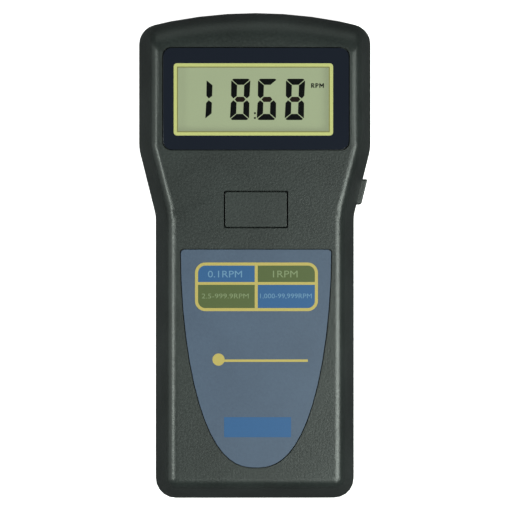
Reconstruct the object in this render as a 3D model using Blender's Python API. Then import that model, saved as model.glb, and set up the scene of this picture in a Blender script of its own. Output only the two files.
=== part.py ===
"""Hand-held laser tachometer, built as the pieces it comes apart into on a bench.

Metres. The instrument lies on its back: +Z comes out of the front face, +Y runs to the head with its
optical windows, and +X is the side with the measuring key. The origin is under the middle of the case.
"""

import math

import bmesh
import bpy
from mathutils import Matrix, Vector

# Case, outside
LENGTH = 0.160
HEAD_WIDTH = 0.0764
DEPTH = 0.037
CROWN_RADIUS = 0.143
TOP_CORNER_RADIUS = 0.0065
BOTTOM_CORNER_RADIUS = 0.0066
FLANK_FROM_TOP = 0.0448
FLANK_LENGTH = 0.022
FLANK_TOP_RADIUS = 0.016
FLANK_LOW_RADIUS = 0.012

# Front shell, in section
FRONT_DRAFT = 0.0002
CHAMFER_HEIGHT = 0.0125
CHAMFER_INSET = 0.0033
EDGE_DROP = 0.0027
EDGE_REACH = 0.0036
CROWN_ROLL_LENGTH = 0.0100
CROWN_ROLL_HEIGHT = 0.0090

# Rear shell, in section
REAR_DRAFT = 0.0005
REAR_EDGE_RADIUS = 0.0025

# Walls and fits
WALL = 0.0020
FRONT_WALL = 0.0026
END_WALL = 0.0024
GRIP_WALL = 0.0030
CEILING_WALL = 0.0014
CLEARANCE = 0.0003
LIP_THICKNESS = 0.0009
LIP_HEIGHT = 0.0013

# Cells, contacts and their bay
CELL_DIAMETER = 0.0145
CELL_LENGTH = 0.0505
CELL_NUB_RADIUS = 0.00275
CELL_NUB_LENGTH = 0.0010
CELL_COUNT = 4
CELL_GAP = 0.0003
BAY_SIDE_CLEARANCE = 0.00025
CONTACT_THICKNESS = 0.0004
CONTACT_MARGIN = 0.0017
SPRING_LENGTH = 0.0042
SPRING_WIRE_RADIUS = 0.00035
SPRING_BASE_RADIUS = 0.0042
SPRING_TIP_RADIUS = 0.0022
SPRING_TURNS = 3
TERMINAL_TAB_WIDTH = 0.0030

# Battery cover
DOOR_THICKNESS = 0.0022
DOOR_LEDGE = 0.0012
DOOR_TONGUE_REACH = 0.0013
DOOR_OVERLAP = 0.0036
DOOR_RIB_COUNT = 5
DOOR_RIB_PITCH = 0.0026
DOOR_RIB_WIDTH = 0.0011
DOOR_RIB_DEPTH = 0.0006
DOOR_RIB_LENGTH = 0.0200
DOOR_ARROW_SIZE = 0.0070

# Display
DISPLAY_FROM_TOP = 0.02855
HEAD_BORDER = 0.0077
LENS_HEIGHT = 0.0334
LENS_RADIUS = 0.0029
LENS_THICKNESS = 0.0012
LENS_SINK = 0.0002
WINDOW_BORDER = 0.0035
WINDOW_HEIGHT = 0.0265
GLASS_BORDER = 0.0035
GLASS_HEIGHT = 0.0280
GLASS_THICKNESS = 0.0023
FRAME_WALL = 0.0013
FRAME_LIP = 0.0008
FRAME_LIP_REACH = 0.0012
STRIP_WIDTH = 0.0024
STRIP_END_MARGIN = 0.0020

# Front key and its switch
KEY_WIDTH = 0.0202
KEY_HEIGHT = 0.0115
KEY_GAP = 0.00045
KEY_RADIUS = 0.0005
KEY_FROM_TOP = 0.0649
KEY_FLANGE = 0.0012
KEY_STEM_RADIUS = 0.0022
SWITCH_SIDE = 0.0060
SWITCH_HEIGHT = 0.0035
PLUNGER_RADIUS = 0.00175
PLUNGER_SHOWS = 0.0010
PLUNGER_HIDDEN = 0.0016
KEY_TRAVEL = 0.0006

# Side key and its switch
TEST_FROM_TOP = 0.0590
TEST_LENGTH = 0.0084
TEST_HEIGHT = 0.0130
TEST_CENTRE_BELOW_PARTING = 0.0024
TEST_PROUD = 0.00145
TEST_EDGE = 0.0005
TEST_FLANGE = 0.0012
TEST_FLANGE_SPREAD = 0.0010
TEST_FLANGE_RISE = 0.0007
TEST_FLANGE_INSET = 0.0028
TEST_STEM = 0.0022
TEST_STEM_WIDTH = 0.0044
TEST_TRAVEL = 0.0008

# Front label
LABEL_FROM_TOP = 0.07805
LABEL_SIDE_MARGIN = 0.0080
LABEL_END_MARGIN = 0.0104
LABEL_THICKNESS = 0.0008
LABEL_SINK = 0.0002
LABEL_CORNER_RADIUS = 0.0012
LABEL_FLATNESS = 1.95
LABEL_FULLNESS = 2.5

# Circuit board
BOARD_THICKNESS = 0.0016
BOARD_ROOM = 0.0050
BOARD_SIDE_MARGIN = 0.0099
BOARD_NECK_MARGIN = 0.0122
BOARD_NECK_ABOVE_BAY = 0.0186
BOARD_BELOW_BAY_END = 0.0050
BOARD_FROM_TOP = 0.0135
BOARD_CORNER_RADIUS = 0.0010
BOARD_SCREW_RADIUS = 0.0011
BOARD_SCREW_LENGTH = 0.0058
BOARD_SCREW_HEAD_RADIUS = 0.0022
BOARD_SCREW_HEAD_HEIGHT = 0.0014
BOARD_BOSS_RADIUS = 0.0026
BOARD_SCREW_FROM_SIDE = 0.0033
BOARD_SCREW_BELOW_GLASS = 0.0062
NECK_SCREW_FROM_SIDE = 0.0035
NECK_SCREW_ABOVE_CAVITY = 0.0027
MICROCONTROLLER = (0.0140, 0.0140, 0.0016)
MICROCONTROLLER_PLACE = (-0.0080, 0.0220)
AMPLIFIER = (0.0040, 0.0088, 0.0016)
AMPLIFIER_PLACE = (0.0120, 0.0240)
LEAD_REACH = 0.0010
CRYSTAL = (0.0110, 0.0046, 0.0035)
CRYSTAL_CORNER_RADIUS = 0.0022
CRYSTAL_PLACE = (-0.0060, 0.0370)
CAPACITOR_RADIUS = 0.0025
CAPACITOR_HEIGHT = 0.0046
CAPACITOR_EDGE = 0.0003
CAPACITOR_PLACE = (0.0100, 0.0380)

# Case screws and their bosses
CASE_SCREW_RADIUS = 0.00145
CASE_SCREW_HEAD_RADIUS = 0.0026
CASE_SCREW_HEAD_HEIGHT = 0.0020
CASE_SCREW_SEAT = 0.0120
CASE_SCREW_REACH = 0.0280
REAR_BOSS_RADIUS = 0.0040
FRONT_BOSS_RADIUS = 0.0032
UPPER_SCREW_FROM_SIDE = 0.0058
UPPER_SCREW_FROM_TOP = 0.0180
LOWER_SCREW_FROM_SIDE = 0.0067
LOWER_SCREW_ABOVE_CAVITY = 0.0055

# Optics behind the top end
OPTICS_HEIGHT = 0.0120
RECEIVER_X = 0.0080
RECEIVER_TUBE_RADIUS = 0.0076
RECEIVER_COLLAR_RADIUS = 0.0064
RECEIVER_LENS_RADIUS = 0.0052
RECEIVER_LENS_THICKNESS = 0.0026
RECEIVER_LENS_BULGE = 0.0012
RECEIVER_BORE_RADIUS = 0.0044
LASER_X = -0.0100
LASER_TUBE_RADIUS = 0.0046
LASER_COLLAR_RADIUS = 0.0037
LASER_BARREL_RADIUS = 0.0027
LASER_BARREL_LENGTH = 0.0240
LASER_MOUTH_RADIUS = 0.0016
COLLAR_BACK_FROM_CROWN = 0.0010
TUBE_LENGTH = 0.0260
TAB_THICKNESS = 0.0020
TAB_DEPTH = 0.0060
TAB_REACH = 0.0135
OPTICAL_SCREW_RADIUS = 0.0011
OPTICAL_SCREW_HEAD_HEIGHT = 0.0014
OPTICAL_BOSS_RADIUS = 0.0030
OPTICAL_BOSS_HEIGHT = 0.0040
SENSOR_RADIUS = 0.0025
SENSOR_LENGTH = 0.0080
SENSOR_BOARD_THICKNESS = 0.0012
HEADER_WIDTH = 0.0120
HEADER_DEPTH = 0.0026
HEADER_OVERLAP = 0.0050
LASER_MOUTH_DEPTH = 0.0030
LASER_LENS_THICKNESS = 0.0013
LASER_LENS_BULGE = 0.0005

# Facets
CORNER_STEPS = 5
FLANK_STEPS = 3
CROWN_STEPS = 8
ROLL_STEPS = 8
HOLLOW_STEPS = 3
REAR_EDGE_STEPS = 4
ROUND_STEPS = 24
SMALL_ROUND_STEPS = 16
SCREW_STEPS = 10
CELL_STEPS = 20
SPRING_STEPS = 8
LABEL_STEPS = 16
LABEL_CROWDING = 1.5

# Places that follow from the sizes
TOP = LENGTH / 2
BOTTOM = -LENGTH / 2
FLANK_TOP = TOP - FLANK_FROM_TOP
FLANK_LOW = FLANK_TOP - FLANK_LENGTH
DISPLAY_Y = TOP - DISPLAY_FROM_TOP
KEY_Y = TOP - KEY_FROM_TOP
TEST_Y = TOP - TEST_FROM_TOP
LABEL_TOP = TOP - LABEL_FROM_TOP
LABEL_LENGTH = LABEL_TOP - BOTTOM - LABEL_END_MARGIN
BAY_LENGTH = 5 * CLEARANCE + 2 * CONTACT_THICKNESS + SPRING_LENGTH + CELL_LENGTH
BAY_LOW = BOTTOM + END_WALL
BAY_HIGH = BAY_LOW + BAY_LENGTH
DOOR_TOP = BAY_HIGH + DOOR_OVERLAP
CAVITY_LOW = DOOR_TOP + CLEARANCE + WALL
BAY_WIDTH = CELL_COUNT * CELL_DIAMETER + (CELL_COUNT - 1) * CELL_GAP + 2 * BAY_SIDE_CLEARANCE
GRIP_WIDTH = BAY_WIDTH + 2 * GRIP_WALL
FLANK_SLOPE = (HEAD_WIDTH - GRIP_WIDTH) / 2 / FLANK_LENGTH
LABEL_HALF_WIDTH = GRIP_WIDTH / 2 - LABEL_SIDE_MARGIN
LENS_WIDTH = HEAD_WIDTH - 2 * HEAD_BORDER
WINDOW_WIDTH = LENS_WIDTH - 2 * WINDOW_BORDER
GLASS_WIDTH = LENS_WIDTH - 2 * GLASS_BORDER
STRIP_LENGTH = GLASS_WIDTH - 2 * STRIP_END_MARGIN
BOARD_HALF_WIDTH = HEAD_WIDTH / 2 - BOARD_SIDE_MARGIN
BOARD_NECK_HALF_WIDTH = GRIP_WIDTH / 2 - BOARD_NECK_MARGIN
CELL_Z = DOOR_THICKNESS + CLEARANCE + CELL_DIAMETER / 2
BAY_CEILING = CELL_Z + CELL_DIAMETER / 2 + CLEARANCE
REAR_DEPTH = BAY_CEILING + CEILING_WALL
FRONT_LOW = REAR_DEPTH + CLEARANCE
CHAMFER_LOW = DEPTH - CHAMFER_HEIGHT
EDGE_LOW = DEPTH - EDGE_DROP
ROLL_LOW = DEPTH - CROWN_ROLL_HEIGHT
FRONT_INNER = DEPTH - FRONT_WALL
BOARD_LOW = FRONT_LOW + BOARD_ROOM
BOARD_TOP = BOARD_LOW + BOARD_THICKNESS
FRAME_TOP = FRONT_INNER - CLEARANCE
GLASS_TOP = FRAME_TOP - FRAME_LIP - CLEARANCE
GLASS_LOW = GLASS_TOP - GLASS_THICKNESS
TEST_Z = FRONT_LOW - TEST_CENTRE_BELOW_PARTING
LABEL_FLOOR = DEPTH - LABEL_SINK - LABEL_THICKNESS - CLEARANCE
CASE_SCREWS = [
    (side * x, y)
    for x, y in (
        (HEAD_WIDTH / 2 - UPPER_SCREW_FROM_SIDE, TOP - UPPER_SCREW_FROM_TOP),
        (GRIP_WIDTH / 2 - LOWER_SCREW_FROM_SIDE, CAVITY_LOW + LOWER_SCREW_ABOVE_CAVITY),
    )
    for side in (-1, 1)
]
BOARD_SCREWS = [
    (side * x, y)
    for x, y in (
        (BOARD_HALF_WIDTH - BOARD_SCREW_FROM_SIDE, DISPLAY_Y - GLASS_HEIGHT / 2 - BOARD_SCREW_BELOW_GLASS),
        (BOARD_NECK_HALF_WIDTH - NECK_SCREW_FROM_SIDE, CAVITY_LOW + NECK_SCREW_ABOVE_CAVITY),
    )
    for side in (-1, 1)
]

MATERIALS = {
    "case": ((0.030, 0.034, 0.033), 0.55, 0.0),
    "key": ((0.034, 0.036, 0.036), 0.50, 0.0),
    "lens": ((0.010, 0.012, 0.020), 0.08, 0.0),
    "glass": ((0.35, 0.40, 0.27), 0.20, 0.0),
    "label": ((0.105, 0.145, 0.195), 0.45, 0.0),
    "frame": ((0.55, 0.55, 0.53), 0.50, 0.0),
    "rubber": ((0.60, 0.42, 0.40), 0.60, 0.0),
    "board": ((0.03, 0.17, 0.07), 0.45, 0.0),
    "chip": ((0.02, 0.02, 0.02), 0.50, 0.0),
    "steel": ((0.58, 0.57, 0.55), 0.30, 1.0),
    "spring": ((0.70, 0.69, 0.66), 0.25, 1.0),
    "brass": ((0.72, 0.50, 0.20), 0.30, 1.0),
    "optic": ((0.75, 0.80, 0.82), 0.03, 0.0),
    "block": ((0.012, 0.012, 0.012), 0.60, 0.0),
    "cell": ((0.03, 0.07, 0.20), 0.30, 0.3),
    "plunger": ((0.45, 0.40, 0.33), 0.50, 0.0),
}


def clear_scene():
    for item in list(bpy.data.objects):
        bpy.data.objects.remove(item, do_unlink=True)


def material_for(name, finish):
    colour, roughness, metallic = MATERIALS[finish]
    material = bpy.data.materials.new(name)
    material.use_nodes = True
    shader = material.node_tree.nodes["Principled BSDF"]
    shader.inputs["Base Color"].default_value = (*colour, 1.0)
    shader.inputs["Roughness"].default_value = roughness
    shader.inputs["Metallic"].default_value = metallic
    return material


def object_from(name, shape, finish=None, location=(0, 0, 0)):
    """An object from a bmesh. With no finish it is a tool for a Boolean, so it doesn't render."""
    bmesh.ops.recalc_face_normals(shape, faces=shape.faces)
    mesh = bpy.data.meshes.new(name)
    shape.to_mesh(mesh)
    shape.free()
    made = bpy.data.objects.new(name, mesh)
    made.location = location
    bpy.context.scene.collection.objects.link(made)
    if finish:
        mesh.materials.append(material_for(name, finish))
        mesh.shade_smooth()
        mesh.set_sharp_from_angle(angle=math.radians(32))
    else:
        made.hide_render = True
        made.display_type = "WIRE"
    return made


def boolean(target, tool, operation):
    modifier = target.modifiers.new(f"{operation.lower()} {tool.name}", "BOOLEAN")
    modifier.operation = operation
    modifier.object = tool
    modifier.solver = "EXACT"


def cut(target, tool):
    boolean(target, tool, "DIFFERENCE")


def fuse(target, tool):
    boolean(target, tool, "UNION")


def lofted(rings):
    """A closed skin over rings of points, each with as many points as the others."""
    shape = bmesh.new()
    layers = [[shape.verts.new(point) for point in ring] for ring in rings]
    for below, above in zip(layers, layers[1:]):
        for i in range(len(below)):
            j = (i + 1) % len(below)
            shape.faces.new((below[i], below[j], above[j], above[i]))
    shape.faces.new(layers[0])
    shape.faces.new(layers[-1])
    return shape


def prism(outline, low, high):
    return lofted([[(x, y, z) for x, y in outline] for z in (low, high)])


def box(low, high):
    shape = bmesh.new()
    bmesh.ops.create_cube(shape, size=1)
    size = Vector(high) - Vector(low)
    middle = (Vector(high) + Vector(low)) / 2
    bmesh.ops.transform(shape, matrix=Matrix.Translation(middle) @ Matrix.Diagonal((*size, 1)), verts=shape.verts)
    return shape


def turned(profile, steps=ROUND_STEPS, axis="Z"):
    """A profile of (radius, height) points turned round an axis. It closes on the axis at both ends."""
    shape = bmesh.new()
    rings = []
    for radius, height in profile:
        if radius == 0:
            rings.append([shape.verts.new((0, 0, height))])
            continue
        angles = [2 * math.pi * i / steps for i in range(steps)]
        rings.append([shape.verts.new((radius * math.cos(a), radius * math.sin(a), height)) for a in angles])
    for below, above in zip(rings, rings[1:]):
        for i in range(steps):
            j = (i + 1) % steps
            corners = [below[i % len(below)], below[j % len(below)], above[j % len(above)], above[i % len(above)]]
            shape.faces.new(list(dict.fromkeys(corners)))
    turns = {"X": Matrix.Rotation(math.pi / 2, 4, "Y"), "Y": Matrix.Rotation(-math.pi / 2, 4, "X")}
    if axis in turns:
        bmesh.ops.transform(shape, matrix=turns[axis], verts=shape.verts)
    return shape


def rod(radius, low, high, steps=SMALL_ROUND_STEPS, axis="Z"):
    return turned([(0, low), (radius, low), (radius, high), (0, high)], steps, axis)


def rounded(corners, steps):
    """The points of a polygon given as (x, y, radius), with an arc of that radius in each corner."""
    points = []
    for i, (x, y, radius) in enumerate(corners):
        here = Vector((x, y))
        if radius <= 0:
            points.append((x, y))
            continue
        back = (Vector(corners[i - 1][:2]) - here).normalized()
        ahead = (Vector(corners[(i + 1) % len(corners)][:2]) - here).normalized()
        half = back.angle(ahead) / 2
        centre = here + (back + ahead).normalized() * radius / math.sin(half)
        start = here + back * radius / math.tan(half) - centre
        end = here + ahead * radius / math.tan(half) - centre
        first = math.atan2(start.y, start.x)
        sweep = (math.atan2(end.y, end.x) - first + math.pi) % (2 * math.pi) - math.pi
        count = steps[i] if isinstance(steps, list) else steps
        for step in range(count + 1):
            angle = first + sweep * step / count
            points.append((centre.x + radius * math.cos(angle), centre.y + radius * math.sin(angle)))
    return points


def rounded_rectangle(x, y, width, height, radius, steps=3):
    sides = ((1, -1), (1, 1), (-1, 1), (-1, -1))
    return rounded([(x + i * width / 2, y + j * height / 2, radius) for i, j in sides], steps)


# The case outline


def crown(x):
    """Y of the arched top end at x."""
    return TOP - x * x / (2 * CROWN_RADIUS)


def flank_x(y, inset):
    """X of the right flank at y, drawn in by an inset square to it."""
    return GRIP_WIDTH / 2 + (y - FLANK_LOW) * FLANK_SLOPE - inset * math.hypot(1, FLANK_SLOPE)


def case_outline(inset, crown_inset=None, low=BOTTOM, low_radius=BOTTOM_CORNER_RADIUS):
    """The case seen from the front, drawn in by an inset at the sides and another at the arched top."""
    crown_inset = inset if crown_inset is None else crown_inset
    lift = inset * math.tan(math.atan(FLANK_SLOPE) / 2)
    grip = GRIP_WIDTH / 2 - inset
    head = HEAD_WIDTH / 2 - inset
    right = [
        (grip, low + inset, max(low_radius - inset, 0.0012)),
        (grip, FLANK_LOW + lift, FLANK_LOW_RADIUS + inset),
        (head, FLANK_TOP + lift, FLANK_TOP_RADIUS - inset),
        (head, crown(head) - crown_inset, max(TOP_CORNER_RADIUS - inset, 0.0012)),
    ]
    arch = [head * (1 - 2 * i / CROWN_STEPS) for i in range(1, CROWN_STEPS)]
    left = [(-x, y, radius) for x, y, radius in reversed(right)]
    side_steps = [CORNER_STEPS, FLANK_STEPS, FLANK_STEPS, CORNER_STEPS]
    steps = side_steps + [0] * len(arch) + side_steps[::-1]
    return rounded(right + [(x, crown(x) - crown_inset, 0) for x in arch] + left, steps)


def ring(outline, z):
    return [(x, y, z) for x, y in outline]


def front_inset(z):
    """How far the sides of the front shell have drawn in at z: draft, chamfer, then an edge that runs from the
    chamfer's slope into the face with no kink."""
    inset = FRONT_DRAFT * min(1, (z - FRONT_LOW) / (CHAMFER_LOW - FRONT_LOW))
    if z > CHAMFER_LOW:
        inset += (CHAMFER_INSET - FRONT_DRAFT) * (min(z, EDGE_LOW) - CHAMFER_LOW) / (EDGE_LOW - CHAMFER_LOW)
    if z > EDGE_LOW:
        slope = (CHAMFER_INSET - FRONT_DRAFT) / (EDGE_LOW - CHAMFER_LOW)
        share = 1 - math.sqrt(max(0, DEPTH - z) / EDGE_DROP)
        inset += 2 * share * (1 - share) * slope * EDGE_DROP + share**2 * EDGE_REACH
    return inset


def front_skin():
    """The outside of the front shell: the top end rolls over in a quarter ellipse."""
    rings = [ring(case_outline(0), FRONT_LOW), ring(case_outline(FRONT_DRAFT), CHAMFER_LOW)]
    for step in range(ROLL_STEPS + 1):
        angle = math.pi / 2 * step / ROLL_STEPS
        z = ROLL_LOW + CROWN_ROLL_HEIGHT * math.sin(angle)
        roll = FRONT_DRAFT + (CROWN_ROLL_LENGTH - FRONT_DRAFT) * (1 - math.cos(angle))
        rings.append(ring(case_outline(front_inset(z), roll), z))
    return lofted(rings)


def front_hollow(wall=WALL, front_wall=FRONT_WALL):
    """The inside of the front shell, one wall behind its skin."""
    slant = math.hypot(1, CHAMFER_INSET / (EDGE_LOW - CHAMFER_LOW))
    rings = [
        ring(case_outline(wall), FRONT_LOW - WALL),
        ring(case_outline(wall + FRONT_DRAFT), CHAMFER_LOW),
    ]
    for step in range(HOLLOW_STEPS + 1):
        angle = math.pi / 2 * step / HOLLOW_STEPS
        z = ROLL_LOW + (CROWN_ROLL_HEIGHT - front_wall) * math.sin(angle)
        roll = wall + (CROWN_ROLL_LENGTH - wall) * (1 - math.cos(angle))
        rings.append(ring(case_outline(front_inset(z) + wall * slant, roll), z))
    return lofted(rings)


def rear_skin():
    """The outside of the rear shell: a drafted side with a rounded edge round the back."""
    rings = []
    for step in range(REAR_EDGE_STEPS + 1):
        angle = math.pi / 2 * step / REAR_EDGE_STEPS
        z = REAR_EDGE_RADIUS * (1 - math.cos(angle))
        inset = REAR_DRAFT + REAR_EDGE_RADIUS * (1 - math.sin(angle))
        rings.append(ring(case_outline(inset), z))
    rings.append(ring(case_outline(0), REAR_DEPTH))
    return lofted(rings)


# The shells


def test_key_opening():
    half_y = TEST_LENGTH / 2 + CLEARANCE
    half_z = TEST_HEIGHT / 2 + CLEARANCE
    inner = flank_x(TEST_Y - half_y, TEST_FLANGE_INSET)
    return box((inner, TEST_Y - half_y, TEST_Z - half_z), (HEAD_WIDTH, TEST_Y + half_y, TEST_Z + half_z))


def label_outline(spread):
    """The tongue-shaped label: a rounded egg curve below a straight top edge, its points closer near the tip."""
    half = LABEL_HALF_WIDTH + spread
    length = LABEL_LENGTH + spread
    side = []
    for step in range(1, LABEL_STEPS):
        angle = math.pi / 2 * (1 - (1 - step / LABEL_STEPS) ** LABEL_CROWDING)
        down = length * math.sin(angle) ** (2 / LABEL_FLATNESS)
        side.append((half * math.cos(angle) ** (2 / LABEL_FULLNESS), LABEL_TOP - down, 0))
    top = [(half, LABEL_TOP + spread, LABEL_CORNER_RADIUS), (-half, LABEL_TOP + spread, LABEL_CORNER_RADIUS)]
    left = [(-x, y, 0) for x, y, _ in side]
    return rounded(top + left + [(0, LABEL_TOP - length, 0)] + side[::-1], 3)


def front_shell():
    shell = object_from("front_shell", front_skin(), "case")
    cut(shell, object_from("front hollow", front_hollow()))
    rebate = prism(case_outline(LIP_THICKNESS), FRONT_LOW - WALL, FRONT_LOW + LIP_HEIGHT + CLEARANCE)
    cut(shell, object_from("lip rebate", rebate))
    mid_wall = object_from("boss limit", front_hollow(WALL / 2, FRONT_WALL / 2))
    bosses = [("front boss", CASE_SCREWS, FRONT_BOSS_RADIUS, FRONT_LOW)]
    bosses.append(("board boss", BOARD_SCREWS, BOARD_BOSS_RADIUS, BOARD_TOP + CLEARANCE))
    for name, places, radius, low in bosses:
        for i, (x, y) in enumerate(places, 1):
            boss = object_from(f"{name} {i}", rod(radius, low, DEPTH), location=(x, y, 0))
            boolean(boss, mid_wall, "INTERSECT")
            fuse(shell, boss)
    for i, (x, y) in enumerate(CASE_SCREWS, 1):
        pilot = rod(CASE_SCREW_RADIUS + CLEARANCE, FRONT_LOW - WALL, CASE_SCREW_REACH + CLEARANCE)
        cut(shell, object_from(f"case pilot {i}", pilot, location=(x, y, 0)))
    for i, (x, y) in enumerate(BOARD_SCREWS, 1):
        top = BOARD_LOW + BOARD_SCREW_LENGTH + CLEARANCE
        pilot = rod(BOARD_SCREW_RADIUS + CLEARANCE, BOARD_LOW, top, 12)
        cut(shell, object_from(f"board pilot {i}", pilot, location=(x, y, 0)))
    seat = rounded_rectangle(0, DISPLAY_Y, LENS_WIDTH + 2 * CLEARANCE, LENS_HEIGHT + 2 * CLEARANCE, LENS_RADIUS, 4)
    floor = DEPTH - LENS_SINK - LENS_THICKNESS - CLEARANCE
    cut(shell, object_from("lens seat", prism(seat, floor, DEPTH + WALL)))
    window = rounded_rectangle(0, DISPLAY_Y, WINDOW_WIDTH, WINDOW_HEIGHT, KEY_RADIUS, 2)
    cut(shell, object_from("display window", prism(window, FRONT_INNER - WALL, DEPTH)))
    opening = rounded_rectangle(0, KEY_Y, KEY_WIDTH + 2 * KEY_GAP, KEY_HEIGHT + 2 * KEY_GAP, KEY_RADIUS, 2)
    cut(shell, object_from("key opening", prism(opening, FRONT_INNER - WALL, DEPTH + WALL)))
    cut(shell, object_from("label seat", prism(label_outline(CLEARANCE), LABEL_FLOOR, DEPTH + WALL)))
    cut(shell, object_from("side key opening, front", test_key_opening()))
    return shell


def rear_lip():
    """The raised rim that locates the front shell on the rear one."""
    outer = LIP_THICKNESS + CLEARANCE
    lip = object_from("lip", prism(case_outline(outer), REAR_DEPTH - WALL, REAR_DEPTH + LIP_HEIGHT))
    inner = prism(case_outline(outer + LIP_THICKNESS), REAR_DEPTH - 2 * WALL, REAR_DEPTH + WALL)
    cut(lip, object_from("lip hollow", inner))
    return lip


def optics_windows(shell):
    for name, x, radius in (
        ("receiver window", RECEIVER_X, RECEIVER_COLLAR_RADIUS),
        ("laser window", LASER_X, LASER_COLLAR_RADIUS),
    ):
        hole = rod(radius + CLEARANCE, TOP - 4 * WALL, TOP + WALL, ROUND_STEPS, "Y")
        cut(shell, object_from(name, hole, location=(x, 0, OPTICS_HEIGHT)))


def rear_shell():
    shell = object_from("rear_shell", rear_skin(), "case")
    hollow = [
        ring(case_outline(WALL + REAR_DRAFT, low=CAVITY_LOW - WALL, low_radius=0.003), WALL),
        ring(case_outline(WALL, low=CAVITY_LOW - WALL, low_radius=0.003), REAR_DEPTH + WALL),
    ]
    cut(shell, object_from("rear hollow", lofted(hollow)))
    fuse(shell, rear_lip())
    bay = box((-BAY_WIDTH / 2, BAY_LOW, -WALL), (BAY_WIDTH / 2, BAY_HIGH, BAY_CEILING))
    cut(shell, object_from("battery bay", bay))
    mouth = BAY_WIDTH / 2 - CLEARANCE / 3
    groove = mouth + DOOR_TONGUE_REACH
    bay_floor = DOOR_THICKNESS + CLEARANCE
    door_end = DOOR_TOP + CLEARANCE
    seat = box((-mouth, BOTTOM - WALL, -WALL), (mouth, door_end, bay_floor))
    cut(shell, object_from("cover seat", seat))
    rails = box((-groove, BOTTOM - WALL, DOOR_LEDGE), (groove, door_end, bay_floor))
    cut(shell, object_from("cover grooves", rails))
    for i, (x, y) in enumerate(CASE_SCREWS, 1):
        boss = rod(REAR_BOSS_RADIUS, WALL / 2, REAR_DEPTH)
        fuse(shell, object_from(f"rear boss {i}", boss, location=(x, y, 0)))
    for i, (x, y) in enumerate(OPTICAL_SCREWS, 1):
        boss = rod(OPTICAL_BOSS_RADIUS, WALL / 2, WALL + OPTICAL_BOSS_HEIGHT)
        fuse(shell, object_from(f"optical boss {i}", boss, location=(x, y, 0)))
        pilot = rod(OPTICAL_SCREW_RADIUS + CLEARANCE, WALL, WALL + 2 * OPTICAL_BOSS_HEIGHT, 12)
        cut(shell, object_from(f"optical pilot {i}", pilot, location=(x, y, 0)))
    for i, (x, y) in enumerate(CASE_SCREWS, 1):
        well = [
            (0, -WALL),
            (CASE_SCREW_HEAD_RADIUS + CLEARANCE, -WALL),
            (CASE_SCREW_HEAD_RADIUS + CLEARANCE, CASE_SCREW_SEAT),
            (CASE_SCREW_RADIUS + CLEARANCE, CASE_SCREW_SEAT),
            (CASE_SCREW_RADIUS + CLEARANCE, REAR_DEPTH + WALL),
            (0, REAR_DEPTH + WALL),
        ]
        cut(shell, object_from(f"screw well {i}", turned(well, SMALL_ROUND_STEPS), location=(x, y, 0)))
    for side in (-1, 1):
        x, y = terminal_tab_place(side)
        half = TERMINAL_TAB_WIDTH / 2 + CLEARANCE
        slot = box(
            (x - half, y - CONTACT_THICKNESS / 2 - CLEARANCE, BAY_CEILING - WALL),
            (x + half, y + CONTACT_THICKNESS / 2 + CLEARANCE, REAR_DEPTH + WALL),
        )
        cut(shell, object_from(f"terminal slot {side}", slot))
    optics_windows(shell)
    cut(shell, object_from("side key opening, rear", test_key_opening()))
    return shell


def battery_cover():
    """The sliding door: a plate with a tongue down each side, ended by the case's own rounded outline."""
    mouth = BAY_WIDTH / 2 - CLEARANCE / 3 - CLEARANCE
    middle_y = (BOTTOM + DOOR_TOP) / 2
    cover = object_from("battery_cover", box((-mouth, BOTTOM - WALL, 0), (mouth, DOOR_TOP, DOOR_THICKNESS)), "case")
    tongue = mouth + DOOR_TONGUE_REACH
    tongue_low = DOOR_LEDGE + CLEARANCE
    tongues = box((-tongue, BOTTOM - WALL, tongue_low), (tongue, DOOR_TOP, DOOR_THICKNESS))
    fuse(cover, object_from("cover tongues", tongues))
    boolean(cover, object_from("cover limit", rear_skin()), "INTERSECT")
    first = DOOR_TOP - 2.5 * DOOR_RIB_PITCH
    for i in range(DOOR_RIB_COUNT):
        y = first - i * DOOR_RIB_PITCH
        groove = box(
            (-DOOR_RIB_LENGTH / 2, y - DOOR_RIB_WIDTH / 2, -WALL),
            (DOOR_RIB_LENGTH / 2, y + DOOR_RIB_WIDTH / 2, DOOR_RIB_DEPTH),
        )
        cut(cover, object_from(f"thumb groove {i + 1}", groove))
    tip = first - DOOR_RIB_COUNT * DOOR_RIB_PITCH - DOOR_ARROW_SIZE
    arrow = [
        (0, tip),
        (DOOR_ARROW_SIZE / 2, tip + DOOR_ARROW_SIZE * 0.75),
        (-DOOR_ARROW_SIZE / 2, tip + DOOR_ARROW_SIZE * 0.75),
    ]
    cut(cover, object_from("slide arrow", prism(arrow, -WALL, DOOR_RIB_DEPTH)))
    return cover


# Battery pieces


def cell_x(index):
    return (index - (CELL_COUNT - 1) / 2) * (CELL_DIAMETER + CELL_GAP)


def nub_up(index):
    """Cells lie head to tail: the first has its nub towards the head of the instrument."""
    return index % 2 == 0


def contact_y(upper):
    """Middle of a contact plate's thickness, at the upper or lower end of the bay."""
    inset = CLEARANCE + CONTACT_THICKNESS / 2
    return BAY_HIGH - inset if upper else BAY_LOW + inset


def battery_cells():
    radius = CELL_DIAMETER / 2
    body = CELL_LENGTH - CELL_NUB_LENGTH
    bevel = 0.0006
    profile = [
        (0, 0),
        (radius - 2 * bevel, 0),
        (radius, bevel),
        (radius, body - bevel),
        (radius - 2 * bevel, body),
        (CELL_NUB_RADIUS, body),
        (CELL_NUB_RADIUS, CELL_LENGTH),
        (0, CELL_LENGTH),
    ]
    for i in range(CELL_COUNT):
        cell = object_from(f"battery_cell_{i + 1}", turned(profile, CELL_STEPS, "Y"), "cell")
        reach = CLEARANCE + CONTACT_THICKNESS / 2
        if nub_up(i):
            cell.location = (cell_x(i), contact_y(True) - reach - CELL_LENGTH, CELL_Z)
        else:
            cell.location = (cell_x(i), contact_y(False) + reach + CELL_LENGTH, CELL_Z)
            cell.rotation_euler = (0, 0, math.pi)


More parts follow.
